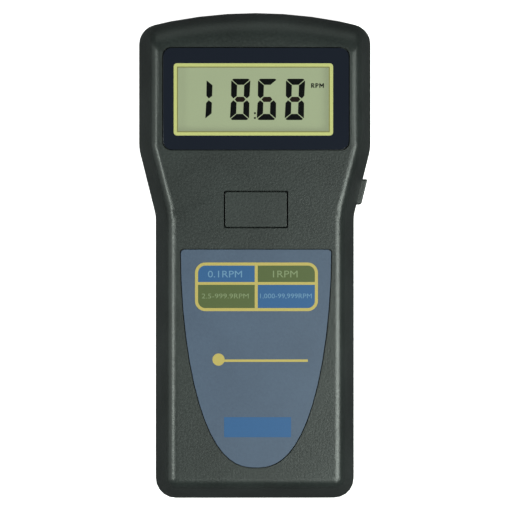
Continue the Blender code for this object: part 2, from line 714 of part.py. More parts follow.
def battery_springs():
    """Conical springs, wide at the plate and narrow at the cell."""
    count = SPRING_TURNS * SPRING_STEPS
    rise = SPRING_LENGTH - 2 * SPRING_WIRE_RADIUS
    for i in range(CELL_COUNT):
        curve = bpy.data.curves.new(f"battery_spring_{i + 1}", "CURVE")
        curve.dimensions = "3D"
        curve.bevel_depth = SPRING_WIRE_RADIUS
        curve.bevel_resolution = 1
        curve.use_fill_caps = True
        line = curve.splines.new("POLY")
        line.points.add(count)
        for step, point in enumerate(line.points):
            share = step / count
            radius = SPRING_BASE_RADIUS + (SPRING_TIP_RADIUS - SPRING_BASE_RADIUS) * share
            angle = 2 * math.pi * step / SPRING_STEPS
            point.co = (radius * math.cos(angle), share * rise, radius * math.sin(angle), 1)
        spring = bpy.data.objects.new(curve.name, curve)
        curve.materials.append(material_for(curve.name, "spring"))
        bpy.context.scene.collection.objects.link(spring)
        seat = CONTACT_THICKNESS / 2 + CLEARANCE + SPRING_WIRE_RADIUS
        if nub_up(i):
            spring.location = (cell_x(i), contact_y(False) + seat, CELL_Z)
        else:
            spring.location = (cell_x(i), contact_y(True) - seat, CELL_Z)
            spring.rotation_euler = (0, 0, math.pi)


def terminal_tab_place(side):
    """Where a terminal's tab goes up through the bay's ceiling."""
    outer = cell_x(CELL_COUNT - 1) - CELL_DIAMETER / 2 + CONTACT_MARGIN + TERMINAL_TAB_WIDTH / 2
    return side * outer, contact_y(True)


def contact_plate(name, first, last, upper):
    """A sheet contact that spans the cells from first to last at one end of the bay."""
    half = CELL_DIAMETER / 2 - CONTACT_MARGIN
    y = contact_y(upper)
    corners = rounded_rectangle(
        (cell_x(first) + cell_x(last)) / 2,
        CELL_Z,
        cell_x(last) - cell_x(first) + 2 * half,
        2 * half,
        0.0015,
        2,
    )
    front = [(x, y - CONTACT_THICKNESS / 2, z) for x, z in corners]
    back = [(x, y + CONTACT_THICKNESS / 2, z) for x, z in corners]
    return object_from(name, lofted([front, back]), "spring")


def battery_contacts():
    contact_plate("contact_link_lower_left", 0, 1, False)
    contact_plate("contact_link_lower_right", 2, 3, False)
    contact_plate("contact_link_upper", 1, 2, True)
    for name, index, side in (("terminal_positive", 0, -1), ("terminal_negative", 3, 1)):
        plate = contact_plate(name, index, index, True)
        x, y = terminal_tab_place(side)
        half = TERMINAL_TAB_WIDTH / 2
        tab = box(
            (x - half, y - CONTACT_THICKNESS / 2, CELL_Z),
            (x + half, y + CONTACT_THICKNESS / 2, BOARD_LOW - CLEARANCE),
        )
        fuse(plate, object_from(f"{name} tab", tab))


# Display


def display_lens():
    outline = rounded_rectangle(0, DISPLAY_Y, LENS_WIDTH, LENS_HEIGHT, LENS_RADIUS, 6)
    top = DEPTH - LENS_SINK
    return object_from("display_lens", prism(outline, top - LENS_THICKNESS, top), "lens")


def display_stack():
    glass = rounded_rectangle(0, DISPLAY_Y, GLASS_WIDTH, GLASS_HEIGHT, 0.0003, 1)
    object_from("lcd_panel", prism(glass, GLASS_LOW, GLASS_TOP), "glass")
    inner_width = GLASS_WIDTH + 2 * CLEARANCE
    inner_height = GLASS_HEIGHT + 2 * CLEARANCE
    outer = rounded_rectangle(
        0, DISPLAY_Y, inner_width + 2 * FRAME_WALL, inner_height + 2 * FRAME_WALL, 0.0010, 2
    )
    frame = object_from("lcd_frame", prism(outer, BOARD_TOP + CLEARANCE, FRAME_TOP), "frame")
    pocket = rounded_rectangle(0, DISPLAY_Y, inner_width, inner_height, 0.0003, 1)
    cut(frame, object_from("frame pocket", prism(pocket, BOARD_LOW, FRAME_TOP - FRAME_LIP)))
    sight = rounded_rectangle(
        0, DISPLAY_Y, GLASS_WIDTH - 2 * FRAME_LIP_REACH, GLASS_HEIGHT - 2 * FRAME_LIP_REACH, 0.0005, 1
    )
    cut(frame, object_from("frame sight", prism(sight, BOARD_LOW, FRAME_TOP + WALL)))
    for name, side in (("lcd_connector_lower", -1), ("lcd_connector_upper", 1)):
        y = DISPLAY_Y + side * (GLASS_HEIGHT / 2 - STRIP_WIDTH / 2 - CLEARANCE)
        strip = box(
            (-STRIP_LENGTH / 2, y - STRIP_WIDTH / 2, BOARD_TOP + CLEARANCE),
            (STRIP_LENGTH / 2, y + STRIP_WIDTH / 2, GLASS_LOW - CLEARANCE),
        )
        object_from(name, strip, "rubber")


def front_label():
    top = DEPTH - LABEL_SINK
    return object_from("front_label", prism(label_outline(0), top - LABEL_THICKNESS, top), "label")


# Keys and switches


def memory_key():
    outline = rounded_rectangle(0, 0, KEY_WIDTH, KEY_HEIGHT, KEY_RADIUS, 2)
    flange_top = FRONT_INNER - CLEARANCE
    flange_low = flange_top - KEY_FLANGE
    key = object_from("memory_button", prism(outline, flange_low - DEPTH, 0), "key", (0, KEY_Y, DEPTH))
    spread = 2 * (KEY_FLANGE + KEY_GAP)
    flange = rounded_rectangle(0, 0, KEY_WIDTH + spread, KEY_HEIGHT + spread, KEY_RADIUS, 1)
    plate = prism(flange, flange_low - DEPTH, flange_top - DEPTH)
    fuse(key, object_from("key flange", plate, location=(0, KEY_Y, DEPTH)))
    switch_low = BOARD_TOP + CLEARANCE
    switch_top = switch_low + SWITCH_HEIGHT
    plunger_top = switch_top + PLUNGER_SHOWS
    stem = rod(KEY_STEM_RADIUS, plunger_top + CLEARANCE - DEPTH, flange_low + KEY_FLANGE / 2 - DEPTH)
    fuse(key, object_from("key stem", stem, location=(0, KEY_Y, DEPTH)))
    body = box(
        (-SWITCH_SIDE / 2, KEY_Y - SWITCH_SIDE / 2, switch_low),
        (SWITCH_SIDE / 2, KEY_Y + SWITCH_SIDE / 2, switch_top),
    )
    switch = object_from("memory_switch", body, "chip")
    pocket_floor = switch_top - PLUNGER_HIDDEN - KEY_TRAVEL - CLEARANCE
    pocket = rod(PLUNGER_RADIUS + CLEARANCE, pocket_floor, DEPTH)
    cut(switch, object_from("switch pocket", pocket, location=(0, KEY_Y, 0)))
    plunger = rod(PLUNGER_RADIUS, -PLUNGER_HIDDEN, PLUNGER_SHOWS)
    object_from("memory_switch_plunger", plunger, "plunger", (0, KEY_Y, switch_top))


def test_key():
    """The side key: its ends are square to X, so it travels along X, and its face follows the flank."""
    low_y = TEST_Y - TEST_LENGTH / 2
    high_y = TEST_Y + TEST_LENGTH / 2
    low_z = TEST_Z - TEST_HEIGHT / 2
    high_z = TEST_Z + TEST_HEIGHT / 2
    flange_back = TEST_FLANGE_INSET + TEST_FLANGE
    corners = [
        (flank_x(low_y, flange_back), low_y),
        (flank_x(low_y, 0) + TEST_PROUD, low_y),
        (flank_x(high_y, 0) + TEST_PROUD, high_y),
        (flank_x(high_y, flange_back), high_y),
    ]
    key = object_from("test_button", prism(corners, low_z, high_z), "key")
    bevel = key.modifiers.new("soft edges", "BEVEL")
    bevel.width = TEST_EDGE
    bevel.segments = 2
    spread_low = low_y - TEST_FLANGE_SPREAD
    spread_high = high_y + TEST_FLANGE_SPREAD
    flange = [
        (flank_x(spread_low, flange_back), spread_low),
        (flank_x(spread_low, TEST_FLANGE_INSET), spread_low),
        (flank_x(spread_high, TEST_FLANGE_INSET), spread_high),
        (flank_x(spread_high, flange_back), spread_high),
    ]
    plate = prism(flange, low_z - TEST_FLANGE_RISE, high_z + TEST_FLANGE_RISE)
    fuse(key, object_from("side key flange", plate))
    stem_root = flank_x(TEST_Y, flange_back)
    stem_tip = stem_root - TEST_STEM
    plunger_tip = stem_tip - CLEARANCE
    face = plunger_tip - PLUNGER_SHOWS
    switch_z = BOARD_LOW - CLEARANCE - SWITCH_SIDE / 2
    half = TEST_STEM_WIDTH / 2
    stem = box((stem_tip, TEST_Y - half, switch_z - half), (stem_root + TEST_FLANGE, TEST_Y + half, switch_z + half))
    fuse(key, object_from("side key stem", stem))
    body = box(
        (face - SWITCH_HEIGHT, TEST_Y - SWITCH_SIDE / 2, switch_z - SWITCH_SIDE / 2),
        (face, TEST_Y + SWITCH_SIDE / 2, switch_z + SWITCH_SIDE / 2),
    )
    switch = object_from("test_switch", body, "chip")
    pocket_end = face - PLUNGER_HIDDEN - TEST_TRAVEL - CLEARANCE
    pocket = rod(PLUNGER_RADIUS + CLEARANCE, pocket_end, HEAD_WIDTH, axis="X")
    cut(switch, object_from("side switch pocket", pocket, location=(0, TEST_Y, switch_z)))
    plunger = rod(PLUNGER_RADIUS, -PLUNGER_HIDDEN, PLUNGER_SHOWS, axis="X")
    object_from("test_switch_plunger", plunger, "plunger", (face, TEST_Y, switch_z))


# Circuit board and what is soldered to it


def circuit_board():
    neck_y = BAY_HIGH + BOARD_NECK_ABOVE_BAY
    low_y = BAY_HIGH - BOARD_BELOW_BAY_END
    high_y = TOP - BOARD_FROM_TOP
    right = [
        (BOARD_NECK_HALF_WIDTH, low_y, BOARD_CORNER_RADIUS),
        (BOARD_NECK_HALF_WIDTH, neck_y, BOARD_CORNER_RADIUS),
        (BOARD_HALF_WIDTH, neck_y, BOARD_CORNER_RADIUS),
        (BOARD_HALF_WIDTH, high_y, BOARD_CORNER_RADIUS),
    ]
    left = [(-x, y, radius) for x, y, radius in reversed(right)]
    board = object_from("circuit_board", prism(rounded(right + left, 2), BOARD_LOW, BOARD_TOP), "board")
    for i, (x, y) in enumerate(BOARD_SCREWS, 1):
        hole = rod(BOARD_SCREW_RADIUS + CLEARANCE, BOARD_LOW - WALL, BOARD_TOP + WALL, 12)
        cut(board, object_from(f"board hole {i}", hole, location=(x, y, 0)))
    return board


def chip(name, place, size):
    """A flat package under the board, with a bent row of leads along its two long sides."""
    width, height, thickness = size
    body = box((-width / 2, -height / 2, -thickness), (width / 2, height / 2, -thickness / 4))
    package = object_from(name, body, "chip", under_board(place))
    feet = box(
        (-width / 2 - LEAD_REACH, -height / 2 + LEAD_REACH, -thickness / 2),
        (width / 2 + LEAD_REACH, height / 2 - LEAD_REACH, 0),
    )
    fuse(package, object_from(f"{name} leads", feet, location=under_board(place)))
    return package


def under_board(place):
    """A place on the board's underside, from its x and its distance below the middle of the display."""
    x, below_display = place
    return x, DISPLAY_Y - below_display, BOARD_LOW - CLEARANCE


def board_parts():
    chip("microcontroller", MICROCONTROLLER_PLACE, MICROCONTROLLER)
    chip("amplifier_chip", AMPLIFIER_PLACE, AMPLIFIER)
    width, height, thickness = CRYSTAL
    can = rounded_rectangle(0, 0, width, height, CRYSTAL_CORNER_RADIUS, 3)
    object_from("crystal", prism(can, -thickness, 0), "steel", under_board(CRYSTAL_PLACE))
    drum = [
        (0, -CAPACITOR_HEIGHT),
        (CAPACITOR_RADIUS - CAPACITOR_EDGE, -CAPACITOR_HEIGHT),
        (CAPACITOR_RADIUS, CAPACITOR_EDGE - CAPACITOR_HEIGHT),
        (CAPACITOR_RADIUS, 0),
        (0, 0),
    ]
    object_from("capacitor", turned(drum, SMALL_ROUND_STEPS), "cell", under_board(CAPACITOR_PLACE))


# Screws


def screw(name, x, y, low, head_radius, head_height, shank_radius, length):
    """A pan-head screw that points up, with its head underneath at low."""
    profile = [
        (0, 0),
        (head_radius * 0.75, 0),
        (head_radius, head_height * 0.45),
        (head_radius, head_height),
        (shank_radius, head_height),
        (shank_radius, head_height + length - shank_radius),
        (0, head_height + length),
    ]
    return object_from(name, turned(profile, SCREW_STEPS), "steel", (x, y, low))


def screws():
    for i, (x, y) in enumerate(CASE_SCREWS, 1):
        low = CASE_SCREW_SEAT - CLEARANCE - CASE_SCREW_HEAD_HEIGHT
        length = CASE_SCREW_REACH - CASE_SCREW_SEAT
        screw(
            f"case_screw_{i}", x, y, low, CASE_SCREW_HEAD_RADIUS, CASE_SCREW_HEAD_HEIGHT, CASE_SCREW_RADIUS, length
        )
    for i, (x, y) in enumerate(BOARD_SCREWS, 1):
        low = BOARD_LOW - CLEARANCE - BOARD_SCREW_HEAD_HEIGHT
        screw(
            f"board_screw_{i}",
            x,
            y,
            low,
            BOARD_SCREW_HEAD_RADIUS,
            BOARD_SCREW_HEAD_HEIGHT,
            BOARD_SCREW_RADIUS,
            BOARD_SCREW_LENGTH,
        )


# Optics

OPTICS_EDGE = crown(max(RECEIVER_X + RECEIVER_TUBE_RADIUS, LASER_TUBE_RADIUS - LASER_X))
OPTICS_FRONT = OPTICS_EDGE - WALL - REAR_DRAFT - CLEARANCE
COLLAR_FRONT = OPTICS_EDGE - COLLAR_BACK_FROM_CROWN
TUBE_BACK = OPTICS_FRONT - TUBE_LENGTH
TAB_Z = WALL + OPTICAL_BOSS_HEIGHT + CLEARANCE
OPTICAL_SCREWS = [
    (LASER_X - TAB_REACH / 2 - CLEARANCE, (OPTICS_FRONT + TUBE_BACK) / 2),
    (RECEIVER_X + TAB_REACH - 0.0020, (OPTICS_FRONT + TUBE_BACK) / 2),
]


def optical_block():
    """One moulding: two tubes that end in collars in the case's windows, with a screwed tab each side."""
    receiver = [
        (0, TUBE_BACK),
        (RECEIVER_TUBE_RADIUS, TUBE_BACK),
        (RECEIVER_TUBE_RADIUS, OPTICS_FRONT),
        (RECEIVER_COLLAR_RADIUS, OPTICS_FRONT),
        (RECEIVER_COLLAR_RADIUS, COLLAR_FRONT),
        (0, COLLAR_FRONT),
    ]
    laser = [
        (0, TUBE_BACK),
        (LASER_TUBE_RADIUS, TUBE_BACK),
        (LASER_TUBE_RADIUS, OPTICS_FRONT),
        (LASER_COLLAR_RADIUS, OPTICS_FRONT),
        (LASER_COLLAR_RADIUS, COLLAR_FRONT),
        (0, COLLAR_FRONT),
    ]
    at_receiver = (RECEIVER_X, 0, OPTICS_HEIGHT)
    at_laser = (LASER_X, 0, OPTICS_HEIGHT)
    block = object_from("optical_block", turned(receiver, ROUND_STEPS, "Y"), "block", at_receiver)
    fuse(block, object_from("laser tube", turned(laser, ROUND_STEPS, "Y"), location=at_laser))
    web = box((LASER_X, TUBE_BACK, OPTICS_HEIGHT - WALL / 2), (RECEIVER_X, OPTICS_FRONT, OPTICS_HEIGHT + WALL / 2))
    fuse(block, object_from("tube web", web))
    (left, middle), (right, _) = OPTICAL_SCREWS
    tab = rounded_rectangle(
        (left + right) / 2, middle, right - left + TAB_DEPTH, TAB_DEPTH, TAB_DEPTH * 0.45, 3
    )
    fuse(block, object_from("screw tabs", prism(tab, TAB_Z, TAB_Z + TAB_THICKNESS)))
    pillar = box(
        (LASER_X - 0.002, middle - TAB_DEPTH / 2 + 0.001, TAB_Z + TAB_THICKNESS / 2),
        (LASER_X + 0.002, middle + TAB_DEPTH / 2 - 0.001, OPTICS_HEIGHT),
    )
    fuse(block, object_from("tab pillar", pillar))
    for i, (x, y) in enumerate(OPTICAL_SCREWS, 1):
        hole = rod(OPTICAL_SCREW_RADIUS + CLEARANCE, 0, TAB_Z + TAB_THICKNESS + WALL / 4, 12)
        cut(block, object_from(f"tab hole {i}", hole, location=(x, y, 0)))
        screw(
            f"optical_screw_{i}", x, y, 0, 0.0020, OPTICAL_SCREW_HEAD_HEIGHT, OPTICAL_SCREW_RADIUS, 0.0050
        )
        made = bpy.data.objects[f"optical_screw_{i}"]
        made.rotation_euler = (math.pi, 0, 0)
        made.location = (x, y, TAB_Z + TAB_THICKNESS + CLEARANCE + OPTICAL_SCREW_HEAD_HEIGHT)
    lens_back = COLLAR_FRONT - RECEIVER_LENS_BULGE - RECEIVER_LENS_THICKNESS - CLEARANCE
    bore = [
        (0, TUBE_BACK - WALL),
        (RECEIVER_BORE_RADIUS, TUBE_BACK - WALL),
        (RECEIVER_BORE_RADIUS, lens_back),
        (RECEIVER_LENS_RADIUS + CLEARANCE, lens_back),
        (RECEIVER_LENS_RADIUS + CLEARANCE, COLLAR_FRONT + WALL),
        (0, COLLAR_FRONT + WALL),
    ]
    cut(block, object_from("receiver bore", turned(bore, ROUND_STEPS, "Y"), location=at_receiver))
    barrel = rod(LASER_BARREL_RADIUS + CLEARANCE, TUBE_BACK - WALL, COLLAR_FRONT + WALL, SMALL_ROUND_STEPS, "Y")
    cut(block, object_from("laser bore", barrel, location=at_laser))
    lens_seat = lens_back + CLEARANCE
    return lens_seat


def receiver_lens(seat):
    """Plano-convex: flat at the back, domed at the front."""
    profile = [(0, seat), (RECEIVER_LENS_RADIUS, seat)]
    rim = seat + RECEIVER_LENS_THICKNESS - RECEIVER_LENS_BULGE
    steps = 3
    for step in range(steps):
        angle = math.pi / 2 * step / steps
        radius = RECEIVER_LENS_RADIUS * math.cos(angle)
        profile.append((radius, rim + RECEIVER_LENS_BULGE * math.sin(angle)))
    profile.append((0, rim + RECEIVER_LENS_BULGE))
    object_from("receiver_lens", turned(profile, ROUND_STEPS, "Y"), "optic", (RECEIVER_X, 0, OPTICS_HEIGHT))


def laser_pieces():
    at_laser = (LASER_X, 0, OPTICS_HEIGHT)
    front = COLLAR_FRONT - CLEARANCE
    back = front - LASER_BARREL_LENGTH
    barrel = object_from(
        "laser_module", rod(LASER_BARREL_RADIUS, back, front, SMALL_ROUND_STEPS, "Y"), "brass", at_laser
    )
    mouth_back = front - LASER_MOUTH_DEPTH
    mouth = rod(LASER_MOUTH_RADIUS + CLEARANCE, mouth_back, front + WALL, 12, "Y")
    cut(barrel, object_from("laser mouth", mouth, location=at_laser))
    lens_back = mouth_back + CLEARANCE
    rim = lens_back + LASER_LENS_THICKNESS - LASER_LENS_BULGE
    profile = [
        (0, lens_back),
        (LASER_MOUTH_RADIUS, lens_back),
        (LASER_MOUTH_RADIUS, rim),
        (LASER_MOUTH_RADIUS * 0.6, rim + LASER_LENS_BULGE * 0.8),
        (0, rim + LASER_LENS_BULGE),
    ]
    object_from("laser_lens", turned(profile, 12, "Y"), "optic", at_laser)


def sensor_pieces():
    board_front = TUBE_BACK - CLEARANCE
    board_back = board_front - SENSOR_BOARD_THICKNESS
    half = RECEIVER_X + RECEIVER_TUBE_RADIUS
    plate = box(
        (-half, board_back, OPTICS_HEIGHT - RECEIVER_TUBE_RADIUS),
        (half, board_front, OPTICS_HEIGHT + RECEIVER_TUBE_RADIUS),
    )
    object_from("sensor_board", plate, "board")
    base = board_front + CLEARANCE
    profile = [
        (0, base),
        (SENSOR_RADIUS * 1.16, base),
        (SENSOR_RADIUS * 1.16, base + 0.0010),
        (SENSOR_RADIUS, base + 0.0010),
        (SENSOR_RADIUS, base + SENSOR_LENGTH - SENSOR_RADIUS),
        (SENSOR_RADIUS * 0.87, base + SENSOR_LENGTH - SENSOR_RADIUS / 2),
        (SENSOR_RADIUS * 0.5, base + SENSOR_LENGTH - SENSOR_RADIUS * 0.13),
        (0, base + SENSOR_LENGTH),
    ]
    object_from("photo_sensor", turned(profile, SMALL_ROUND_STEPS, "Y"), "optic", (RECEIVER_X, 0, OPTICS_HEIGHT))
    header_low = OPTICS_HEIGHT + RECEIVER_TUBE_RADIUS - HEADER_OVERLAP
    housing = box(
        (-HEADER_WIDTH / 2, board_back - CLEARANCE - HEADER_DEPTH, header_low),
        (HEADER_WIDTH / 2, board_back - CLEARANCE, BOARD_LOW - CLEARANCE),
    )
    object_from("sensor_header", housing, "frame")


def build():
    clear_scene()
    front_shell()
    rear_shell()
    battery_cover()
    battery_cells()
    battery_springs()
    battery_contacts()
    display_lens()
    display_stack()
    front_label()
    memory_key()
    test_key()
    circuit_board()
    board_parts()
    screws()
    receiver_lens(optical_block())
    laser_pieces()
    sensor_pieces()


build()
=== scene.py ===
"""Hand-held laser tachometer: materials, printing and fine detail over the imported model, in metres."""

import math

import bpy
from mathutils import Matrix, Vector


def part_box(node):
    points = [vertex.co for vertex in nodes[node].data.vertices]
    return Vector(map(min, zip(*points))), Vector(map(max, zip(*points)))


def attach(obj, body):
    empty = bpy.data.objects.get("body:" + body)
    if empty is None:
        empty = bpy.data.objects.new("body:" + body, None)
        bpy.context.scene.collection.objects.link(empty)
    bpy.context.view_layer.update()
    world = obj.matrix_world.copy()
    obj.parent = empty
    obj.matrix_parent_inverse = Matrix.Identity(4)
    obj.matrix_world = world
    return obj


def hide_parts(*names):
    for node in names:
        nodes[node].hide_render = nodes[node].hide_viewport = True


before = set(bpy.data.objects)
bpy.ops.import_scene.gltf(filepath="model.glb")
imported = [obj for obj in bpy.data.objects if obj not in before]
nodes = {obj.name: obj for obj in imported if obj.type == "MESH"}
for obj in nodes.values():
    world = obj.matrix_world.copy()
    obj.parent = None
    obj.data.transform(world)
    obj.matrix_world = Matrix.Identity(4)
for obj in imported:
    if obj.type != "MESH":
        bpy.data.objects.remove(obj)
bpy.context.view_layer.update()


# Bench tools


def deselect():
    if bpy.context.mode != "OBJECT":
        bpy.ops.object.mode_set(mode="OBJECT")
    bpy.ops.object.select_all(action="DESELECT")


def take(piece):
    """Makes a piece the one that the operators work on."""
    deselect()
    piece.select_set(True)
    bpy.context.view_layer.objects.active = piece


def settle(piece, name=None):
    """Puts the piece's place into its mesh, so its object sits at the origin, unturned and unscaled."""
    take(piece)
    bpy.ops.object.transform_apply(location=True, rotation=True, scale=True)
    if name:
        piece.name = name
        piece.data.name = name
    return piece


def select(piece, kind, wanted):
    """In edit mode: selects the faces, edges or vertices for which wanted(element) holds, and nothing else."""
    bpy.ops.mesh.select_mode(type={"faces": "FACE", "edges": "EDGE", "verts": "VERT"}[kind])
    bpy.ops.mesh.select_all(action="DESELECT")
    bpy.ops.object.mode_set(mode="OBJECT")
    mesh = piece.data
    elements = {"faces": mesh.polygons, "edges": mesh.edges, "verts": mesh.vertices}[kind]
    for element in elements:
        element.select = bool(wanted(element))
    bpy.ops.object.mode_set(mode="EDIT")


def applied(piece, kind, **settings):
    take(piece)
    modifier = piece.modifiers.new(kind.title(), kind)
    for key, value in settings.items():
        setattr(modifier, key, value)
    bpy.ops.object.modifier_apply(modifier=modifier.name)
    return piece


def smooth(piece, degrees=35):
    """Smooth curves beside true flats: a large flat face keeps its own normal at the corners it shares."""
    take(piece)
    bpy.ops.object.shade_smooth_by_angle(angle=math.radians(degrees))
    return applied(piece, "WEIGHTED_NORMAL", mode="FACE_AREA", weight=100, keep_sharp=True)


def dressed(piece, material, body="case", replaces=()):
    piece.data.materials.clear()
    piece.data.materials.append(material)
    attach(piece, body)
    if replaces:
        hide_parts(*replaces)
    return piece


# Materials

WAVE = 0.314  # A wave texture of scale s repeats every WAVE / s metres
TRACK_PITCH = 0.00127


def linear(code, alpha=1.0):
    """An sRGB hex value as linear colour."""
    parts = [int(code[i:i + 2], 16) / 255 for i in (1, 3, 5)]
    return (*[p / 12.92 if p <= 0.04045 else ((p + 0.055) / 1.055) ** 2.4 for p in parts], alpha)


def node(material, kind, inputs=None, **settings):
    """Adds a node with its settings. An input is given a value, or another node's output to link."""
    made = material.node_tree.nodes.new(kind)
    for key, value in settings.items():
        setattr(made, key, value)
    for key, value in (inputs or {}).items():
        if isinstance(value, bpy.types.NodeSocket):
            material.node_tree.links.new(value, made.inputs[key])
        else:
            made.inputs[key].default_value = value
    return made


def new_material(name):
    material = bpy.data.materials.new(name)
    material.use_nodes = True
    material.node_tree.nodes.clear()
    return material


def finished(material, **inputs):
    """Closes the material with its surface shader."""
    names = {key.replace("_", " "): value for key, value in inputs.items()}
    shader = node(material, "ShaderNodeBsdfPrincipled", names)
    node(material, "ShaderNodeOutputMaterial", {"Surface": shader.outputs[0]})
    return material


def moulded(name, dark, light, grain, depth, rough, spread):
    """Moulded plastic: a spark-eroded grain of a given width, with slow drifts of tone across the moulding."""
    made = new_material(name)
    place = node(made, "ShaderNodeTexCoord").outputs["Object"]
    fine = node(made, "ShaderNodeTexNoise", {"Vector": place, "Scale": 1 / grain, "Detail": 3.0, "Roughness": 0.6})
    slow = node(made, "ShaderNodeTexNoise", {"Vector": place, "Scale": 1 / 0.018, "Detail": 2.0})
    tone = node(made, "ShaderNodeMix", {"Factor": 0.45, 2: fine.outputs["Fac"], 3: slow.outputs["Fac"]})
    ramp = node(made, "ShaderNodeValToRGB", {"Fac": tone.outputs[0]})
    ramp.color_ramp.elements[0].position = 0.5 - spread
    ramp.color_ramp.elements[0].color = linear(dark)
    ramp.color_ramp.elements[1].position = 0.5 + spread
    ramp.color_ramp.elements[1].color = linear(light)
    bump = node(made, "ShaderNodeBump", {"Height": fine.outputs["Fac"], "Distance": depth, "Strength": 0.6})
    gloss = node(
        made, "ShaderNodeMapRange", {"Value": fine.outputs["Fac"], "To Min": rough - 0.06, "To Max": rough + 0.08}
    )
    return finished(
        made, Base_Color=ramp.outputs["Color"], Roughness=gloss.outputs[0], Normal=bump.outputs[0], IOR=1.5
    )


def plain(name, code, rough, metallic=0.0, grain=0.0004, depth=0.00001, tint=0.12, **more):
    """An even finish that still breaks up a little: its tone and gloss wander with a grain of a given width."""
    made = new_material(name)
    place = node(made, "ShaderNodeTexCoord").outputs["Object"]
    noise = node(made, "ShaderNodeTexNoise", {"Vector": place, "Scale": 1 / grain, "Detail": 2.0})
    base = linear(code)
    low = (*[c * (1 - tint) for c in base[:3]], 1)
    high = (*[min(1, c * (1 + tint)) for c in base[:3]], 1)
    colour = node(made, "ShaderNodeMix", {"Factor": noise.outputs["Fac"], 6: low, 7: high}, data_type="RGBA")
    gloss = node(
        made, "ShaderNodeMapRange", {"Value": noise.outputs["Fac"], "To Min": rough * 0.9, "To Max": rough * 1.12}
    )
    bump = node(made, "ShaderNodeBump", {"Height": noise.outputs["Fac"], "Distance": depth, "Strength": 0.4})
    return finished(
        made, Base_Color=colour.outputs[2], Roughness=gloss.outputs[0], Normal=bump.outputs[0],
        Metallic=metallic, **more
    )


# Case: ABS moulded against a spark-eroded tool, a dull grey-green black. The real grain is about 0.25 mm, too
# fine to show, so it is drawn at 0.7 mm.
case_abs = moulded("moulded_abs_case", "#191d1c", "#2d3231", 0.0007, 0.00009, 0.34, 0.22)
# Keys: the same ABS, slightly darker and a little smoother where fingers polish it.
key_abs = moulded("moulded_abs_keys", "#1b1f1e", "#2e3332", 0.0007, 0.00006, 0.35, 0.22)
# Optics holder: black ABS with a coarse matt tool finish, which keeps stray light down.
block_abs = moulded("moulded_abs_black", "#0b0c0d", "#16181a", 0.0005, 0.00006, 0.66, 0.25)
# Display window's middle: clear cast acrylic with a polished face, seen only by its reflections.
acrylic = plain("clear_acrylic", "#0a0c10", 0.04, tint=0.02, depth=0.0, Alpha=0.08, IOR=1.49)
# Its rim: the same acrylic, screen printed behind in a dense blue-black, so it looks like one deep dark gloss.
dark_acrylic = plain("acrylic_printed_navy", "#191d27", 0.10, tint=0.03, grain=0.01, depth=0.0, IOR=1.49)
# Border round the display: pale greenish yellow ink, even and satin, seen through the polished face.
border_ink = plain("screen_print_pale_yellow", "#c1c076", 0.50)
# Thin olive line inside the border: painted shade, standing in for the shadow that the window's recess casts along
# the border's inner edge,
#  which makes the border look raised.
recess_shade_paint = plain("painted_recess_shade_olive", "#7d7a45", 0.50)
# Label's lines: a warmer yellow ink, opaque over the blue-grey film.
line_ink = plain("screen_print_yellow", "#aa974d", 0.50)
# Display: a reflective polariser under glass, pale grey-green with a slow drift of tone. Much of its brightness is
# painted light:
#  an even glow that fills in the shade the window's edge casts on it, so it shows no shadow under the rim.
polariser = plain(
    "lcd_polariser_painted_glow", "#565d45", 0.30, grain=0.012, depth=0.0, tint=0.05, Emission_Color=linear("#99a484"),
    Emission_Strength=1.0,
)
# Liquid-crystal strokes that are switched on: black with a little green left in them.
stroke_on = plain("lcd_stroke_on", "#040605", 0.40, Specular_IOR_Level=0.1)
# The middle strokes are weaker on this glass, with a warm brown left in them.
stroke_mid = plain("lcd_stroke_middle", "#20150f", 0.40, Specular_IOR_Level=0.1)
# Label: textured polycarbonate film, printed blue-grey on its back.
label_film = moulded("polycarbonate_film", "#344258", "#415168", 0.0007, 0.00003, 0.46, 0.28)
# Blue and olive fields: opaque inks with a satin face, a little mottled as a screen leaves them.
blue_ink = plain("screen_print_blue", "#0a497b", 0.48)
green_ink = plain("screen_print_green", "#404d1a", 0.48)
# The ranges' figures: thinned pale inks, so the field's own colour still tints them.
pale_blue_ink = plain("screen_print_pale_blue", "#587f9f", 0.48)
pale_green_ink = plain("screen_print_pale_green", "#707d57", 0.48)
# Display frame and plug housing: white ABS, satin from a polished tool, so its edges catch a soft light.
frame_plastic = plain("moulded_abs_white", "#c8c9c3", 0.45, grain=0.0006, tint=0.05)
# Moulded epoxy packages: matt black with a fine speckle of silica filler, as a chip has under a lamp.
epoxy = plain("moulded_epoxy_chip", "#17181a", 0.52, grain=0.0003, tint=0.35)
# Zinc-plated steel: bright but uneven, cool blotches where the plating is thicker.
zinc_steel = plain("zinc_plated_steel", "#b9b7b0", 0.30, 1.0, grain=0.0015, tint=0.15)
# Nickel-plated spring steel: a smoother, slightly warm mirror with soft drawing marks.
nickel_steel = plain("nickel_plated_spring_steel", "#cfcac0", 0.22, 1.0, grain=0.0008, tint=0.10)
# Water-clear acrylic for lenses and the sensor's dome: sharp highlights, and what is behind shows through.
optic = plain(
    "optical_acrylic", "#cfd8dd", 0.03, grain=0.004, depth=0.0, tint=0.02, Transmission_Weight=0.85, IOR=1.49
)
# Cell jacket: printed shrink film, light grey with a soft sheen and small ripples from the shrinking.
cell_jacket = plain("printed_shrink_film", "#a9adb0", 0.32, grain=0.004, depth=0.00004, tint=0.05)
# The jacket's band and signs: dense dark ink under the same film.
cell_ink = plain("shrink_film_ink", "#26343f", 0.34, grain=0.003, tint=0.12)
# Insulating washer at a cell's end: grey board, dull and fibrous.
washer_board = plain("pressed_fibre_board", "#8f9290", 0.75, grain=0.0005, tint=0.25)
# Sleeve of the drum capacitor: dark PVC, glossier than the chips.
capacitor_sleeve = plain("capacitor_pvc_sleeve", "#1b2430", 0.28, grain=0.002)
# Plungers: undyed nylon, a waxy tan that scatters light a little.
switch_plastic = plain("switch_plunger_nylon", "#8a7f6c", 0.55, Subsurface_Weight=0.1)


